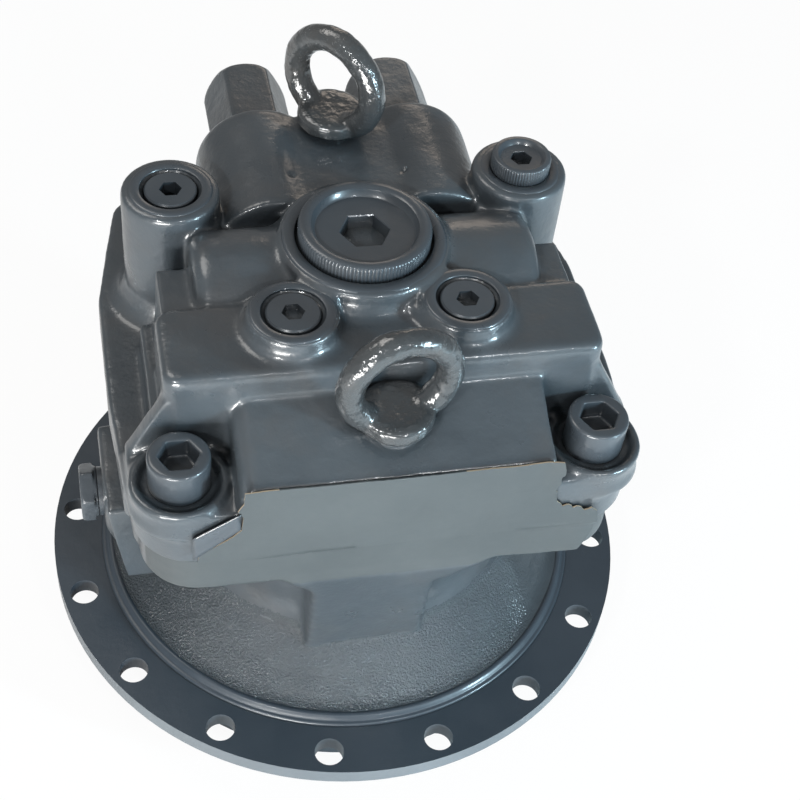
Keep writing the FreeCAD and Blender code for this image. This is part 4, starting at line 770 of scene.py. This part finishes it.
def add_sheet():
    """Masking left on the port face: thin, torn at its right end, painted over."""
    inner = [(x, zz) for x in np.arange(-96, 106, 3.0) for zz in np.arange(122, 202, 3.0)]
    n = len(SHEET_EDGE)
    outline = []
    rng = np.random.default_rng(11)
    for i in range(n):
        a, b = np.array(SHEET_EDGE[i]), np.array(SHEET_EDGE[(i + 1) % n])
        steps = max(1, int(np.hypot(*(b - a)) / 1.5))
        rough = 0.35 if 6 <= i < 22 else 0.08
        for k in range(steps):
            p = a + (b - a) * k / steps
            outline.append(tuple(p + rng.normal(0, rough, 2) * (k > 0)))
    m = len(outline)
    points = [Vector(p) for p in outline] + [Vector(p) for p in inner]
    edges = [(i, (i + 1) % m) for i in range(m)]
    flat, _, tris, *_ = delaunay_2d_cdt(points, edges, [list(range(m))], 1, 1e-6)
    flat = np.array([tuple(v) for v in flat])
    x, zz = flat[:, 0], flat[:, 1]
    base = np.stack([x, np.zeros(len(x)), zz], axis=1) * MM
    wave = field_noise(base, 30.0, 21) * 0.5 + field_noise(base, 9.0, 22) * 0.18 + 0.35
    band = field_noise(base * np.array([0.25, 1, 1.6]), 10.0, 23) * 0.15
    lift = 2.2 * ramp(x, 70, 79) * ramp(zz, 176, 196) + 0.8 * ramp(x, 84, 100)
    thick = np.maximum(1 - ramp(150 - zz, 0, 3), ramp(x, 60, 92))
    front = sheet_depth(x, zz) + np.maximum((wave + band) * thick, 0.08) + lift
    outer = np.stack([x, -front, zz], axis=1) * MM
    inner_skin = np.stack([x, -front + 0.7, zz], axis=1) * MM
    count = len(outer)
    rim = []
    seen = {}
    for tri in tris:
        for i in range(len(tri)):
            e = (tri[i], tri[(i + 1) % len(tri)])
            seen[tuple(sorted(e))] = seen.get(tuple(sorted(e)), []) + [e]
    for pair in seen.values():
        if len(pair) == 1:
            a, b = pair[0]
            rim.append((b, a, a + count, b + count))
    faces = [tuple(t) for t in tris] + [tuple(reversed([i + count for i in t])) for t in tris] + rim
    verts = np.concatenate([outer, inner_skin])
    piece = new_piece("masking_sheet", verts, faces, [SHEET, PAPER], smooth=False)
    mesh = bmesh.new()
    mesh.from_mesh(piece.data)
    bmesh.ops.recalc_face_normals(mesh, faces=mesh.faces)
    mesh.faces.ensure_lookup_table()
    for index, face in enumerate(mesh.faces):
        face.smooth = True
        middle = face.calc_center_median() / MM
        if index >= len(faces) - len(rim) and (middle.x < -58 or middle.x > 30) and middle.z > 152:
            face.material_index = 1
    for edge in mesh.edges:
        edge.smooth = len(edge.link_faces) == 2 and edge.calc_face_angle(0.0) < math.radians(40)
    mesh.to_mesh(piece.data)
    mesh.free()
    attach(piece, HOUSING)


FOLD_STEPS, FOLD_ROWS = 12, 7


def add_fold():
    """Loose strip at the left end of the masking sheet."""
    flap = []
    for u in np.linspace(0, 1, FOLD_STEPS):
        for v in np.linspace(0, 1, FOLD_ROWS):
            fx = -98.6 + 22.4 * u
            fz = 154.0 + 20.0 * u + (16.5 - 5.0 * u) * v
            lift = 1.5 - 0.9 * math.sin(math.pi * v)
            depth = sheet_depth(np.array([fx]), np.array([fz]))[0]
            flap.append((fx * MM, -(depth + lift) * MM, fz * MM))
    flap_faces = []
    for i in range(FOLD_STEPS - 1):
        here, there = i * FOLD_ROWS, (i + 1) * FOLD_ROWS
        flap_faces += [(here + k, there + k, there + k + 1, here + k + 1) for k in range(FOLD_ROWS - 1)]
    back = [(x, y + 0.6 * MM, zz) for x, y, zz in flap]
    count = len(flap)
    faces = [tuple(reversed(f)) for f in flap_faces] + [tuple(i + count for i in f) for f in flap_faces]
    last = (FOLD_STEPS - 1) * FOLD_ROWS
    loop = [i * FOLD_ROWS for i in range(FOLD_STEPS)] + [last + k for k in range(1, FOLD_ROWS)]
    loop += [i * FOLD_ROWS + FOLD_ROWS - 1 for i in range(FOLD_STEPS - 2, -1, -1)]
    loop += list(range(FOLD_ROWS - 2, 0, -1))
    faces += [(loop[i], loop[(i + 1) % len(loop)], loop[(i + 1) % len(loop)] + count, loop[i] + count)
              for i in range(len(loop))]
    fold = new_piece("masking_fold", flap + back, faces, [SMOOTH])
    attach(fold, HOUSING)


add_valve_casing()
add_motor_casing()
add_fasteners()
add_plugs()
add_sheet()
add_fold()


def add_lamp(name, spot, aim, size, power, colour):
    data = bpy.data.lights.new(name, "AREA")
    data.shape = "RECTANGLE"
    data.size, data.size_y = size
    data.energy = power
    data.color = colour
    lamp = bpy.data.objects.new(name, data)
    bpy.context.scene.collection.objects.link(lamp)
    lamp.location = spot
    lamp.rotation_euler = (Vector(aim) - Vector(spot)).to_track_quat("-Z", "Y").to_euler()


# Half width of the floor in metres, how much of it glows for the camera, and the world's light.
FLOOR_HALF, FLOOR_GLOW, WORLD_LIGHT = 4.0, 0.93, 0.27


def add_stage():
    """White floor and backdrop, white to the camera as in the cut-out photograph."""
    low = first_bounds[0][2]
    corners = [(-1, -1), (1, -1), (1, 1), (-1, 1)]
    mesh = bpy.data.meshes.new("floor")
    mesh.from_pydata([(x * FLOOR_HALF, y * FLOOR_HALF, low) for x, y in corners], [], [(0, 1, 2, 3)])
    floor = bpy.data.objects.new("floor", mesh)
    bpy.context.scene.collection.objects.link(floor)
    material, tree, shader = new_material("floor")
    coords = add_node(tree, "ShaderNodeTexCoord").outputs["Object"]
    tone = add_ramp(tree, add_noise(tree, coords, 3.0), [(0.3, grey(0.80)), (0.7, grey(0.84))])
    tree.links.new(tone, shader.inputs["Base Color"])
    shader.inputs["Roughness"].default_value = 0.9
    glow = add_node(tree, "ShaderNodeEmission", None, {"Color": grey(1.0), "Strength": 1.0})
    path = add_node(tree, "ShaderNodeLightPath")
    share = add_node(tree, "ShaderNodeMath", {"operation": "MULTIPLY"}, {
        0: path.outputs["Is Camera Ray"], 1: FLOOR_GLOW})
    mix = add_node(tree, "ShaderNodeMixShader", None, {
        0: share.outputs[0], 1: shader.outputs[0], 2: glow.outputs[0]})
    output = [node for node in tree.nodes if node.type == "OUTPUT_MATERIAL"][0]
    tree.links.new(mix.outputs[0], output.inputs["Surface"])
    floor.data.materials.append(material)
    world = bpy.data.worlds.new("world")
    bpy.context.scene.world = world
    world.use_nodes = True
    wtree = world.node_tree
    background = wtree.nodes["Background"]
    wpath = wtree.nodes.new("ShaderNodeLightPath")
    wmix = wtree.nodes.new("ShaderNodeMix")
    wmix.data_type = "FLOAT"
    wtree.links.new(wpath.outputs["Is Camera Ray"], wmix.inputs[0])
    wmix.inputs[2].default_value = WORLD_LIGHT
    wmix.inputs[3].default_value = 1.0
    background.inputs["Color"].default_value = (1.0, 1.0, 1.0, 1)
    wtree.links.new(wmix.outputs[0], background.inputs["Strength"])
    bpy.context.scene.view_settings.view_transform = "Standard"


# Name, place and aim in metres, width and height, power in watts, colour.
LAMPS = [
    ("front", (-0.85, -1.65, 0.16), (0, 0, 0.12), (0.9, 0.32), 47, (1.0, 0.99, 0.97)),
    ("window", (-0.75, -1.05, 1.15), (0, 0, 0.15), (0.16, 0.08), 11, (1.0, 1.0, 1.0)),
    ("window_front", (0.35, -1.25, 1.15), (0, 0, 0.15), (0.14, 0.07), 5, (0.96, 0.98, 1.0)),
    ("right", (1.15, -1.02, 0.52), (0, 0, 0.05), (0.14, 0.24), 28, (0.60, 0.86, 1.0)),
    ("sky", (-0.60, 0.50, 1.35), (0, 0, 0.15), (0.6, 0.6), 5, (1.0, 0.97, 0.93)),
    ("back", (0.5, 1.5, 0.9), (0, 0, 0.2), (0.6, 0.4), 1.4, (1.0, 0.84, 0.70)),
]

add_stage()
for lamp_row in LAMPS:
    add_lamp(*lamp_row)
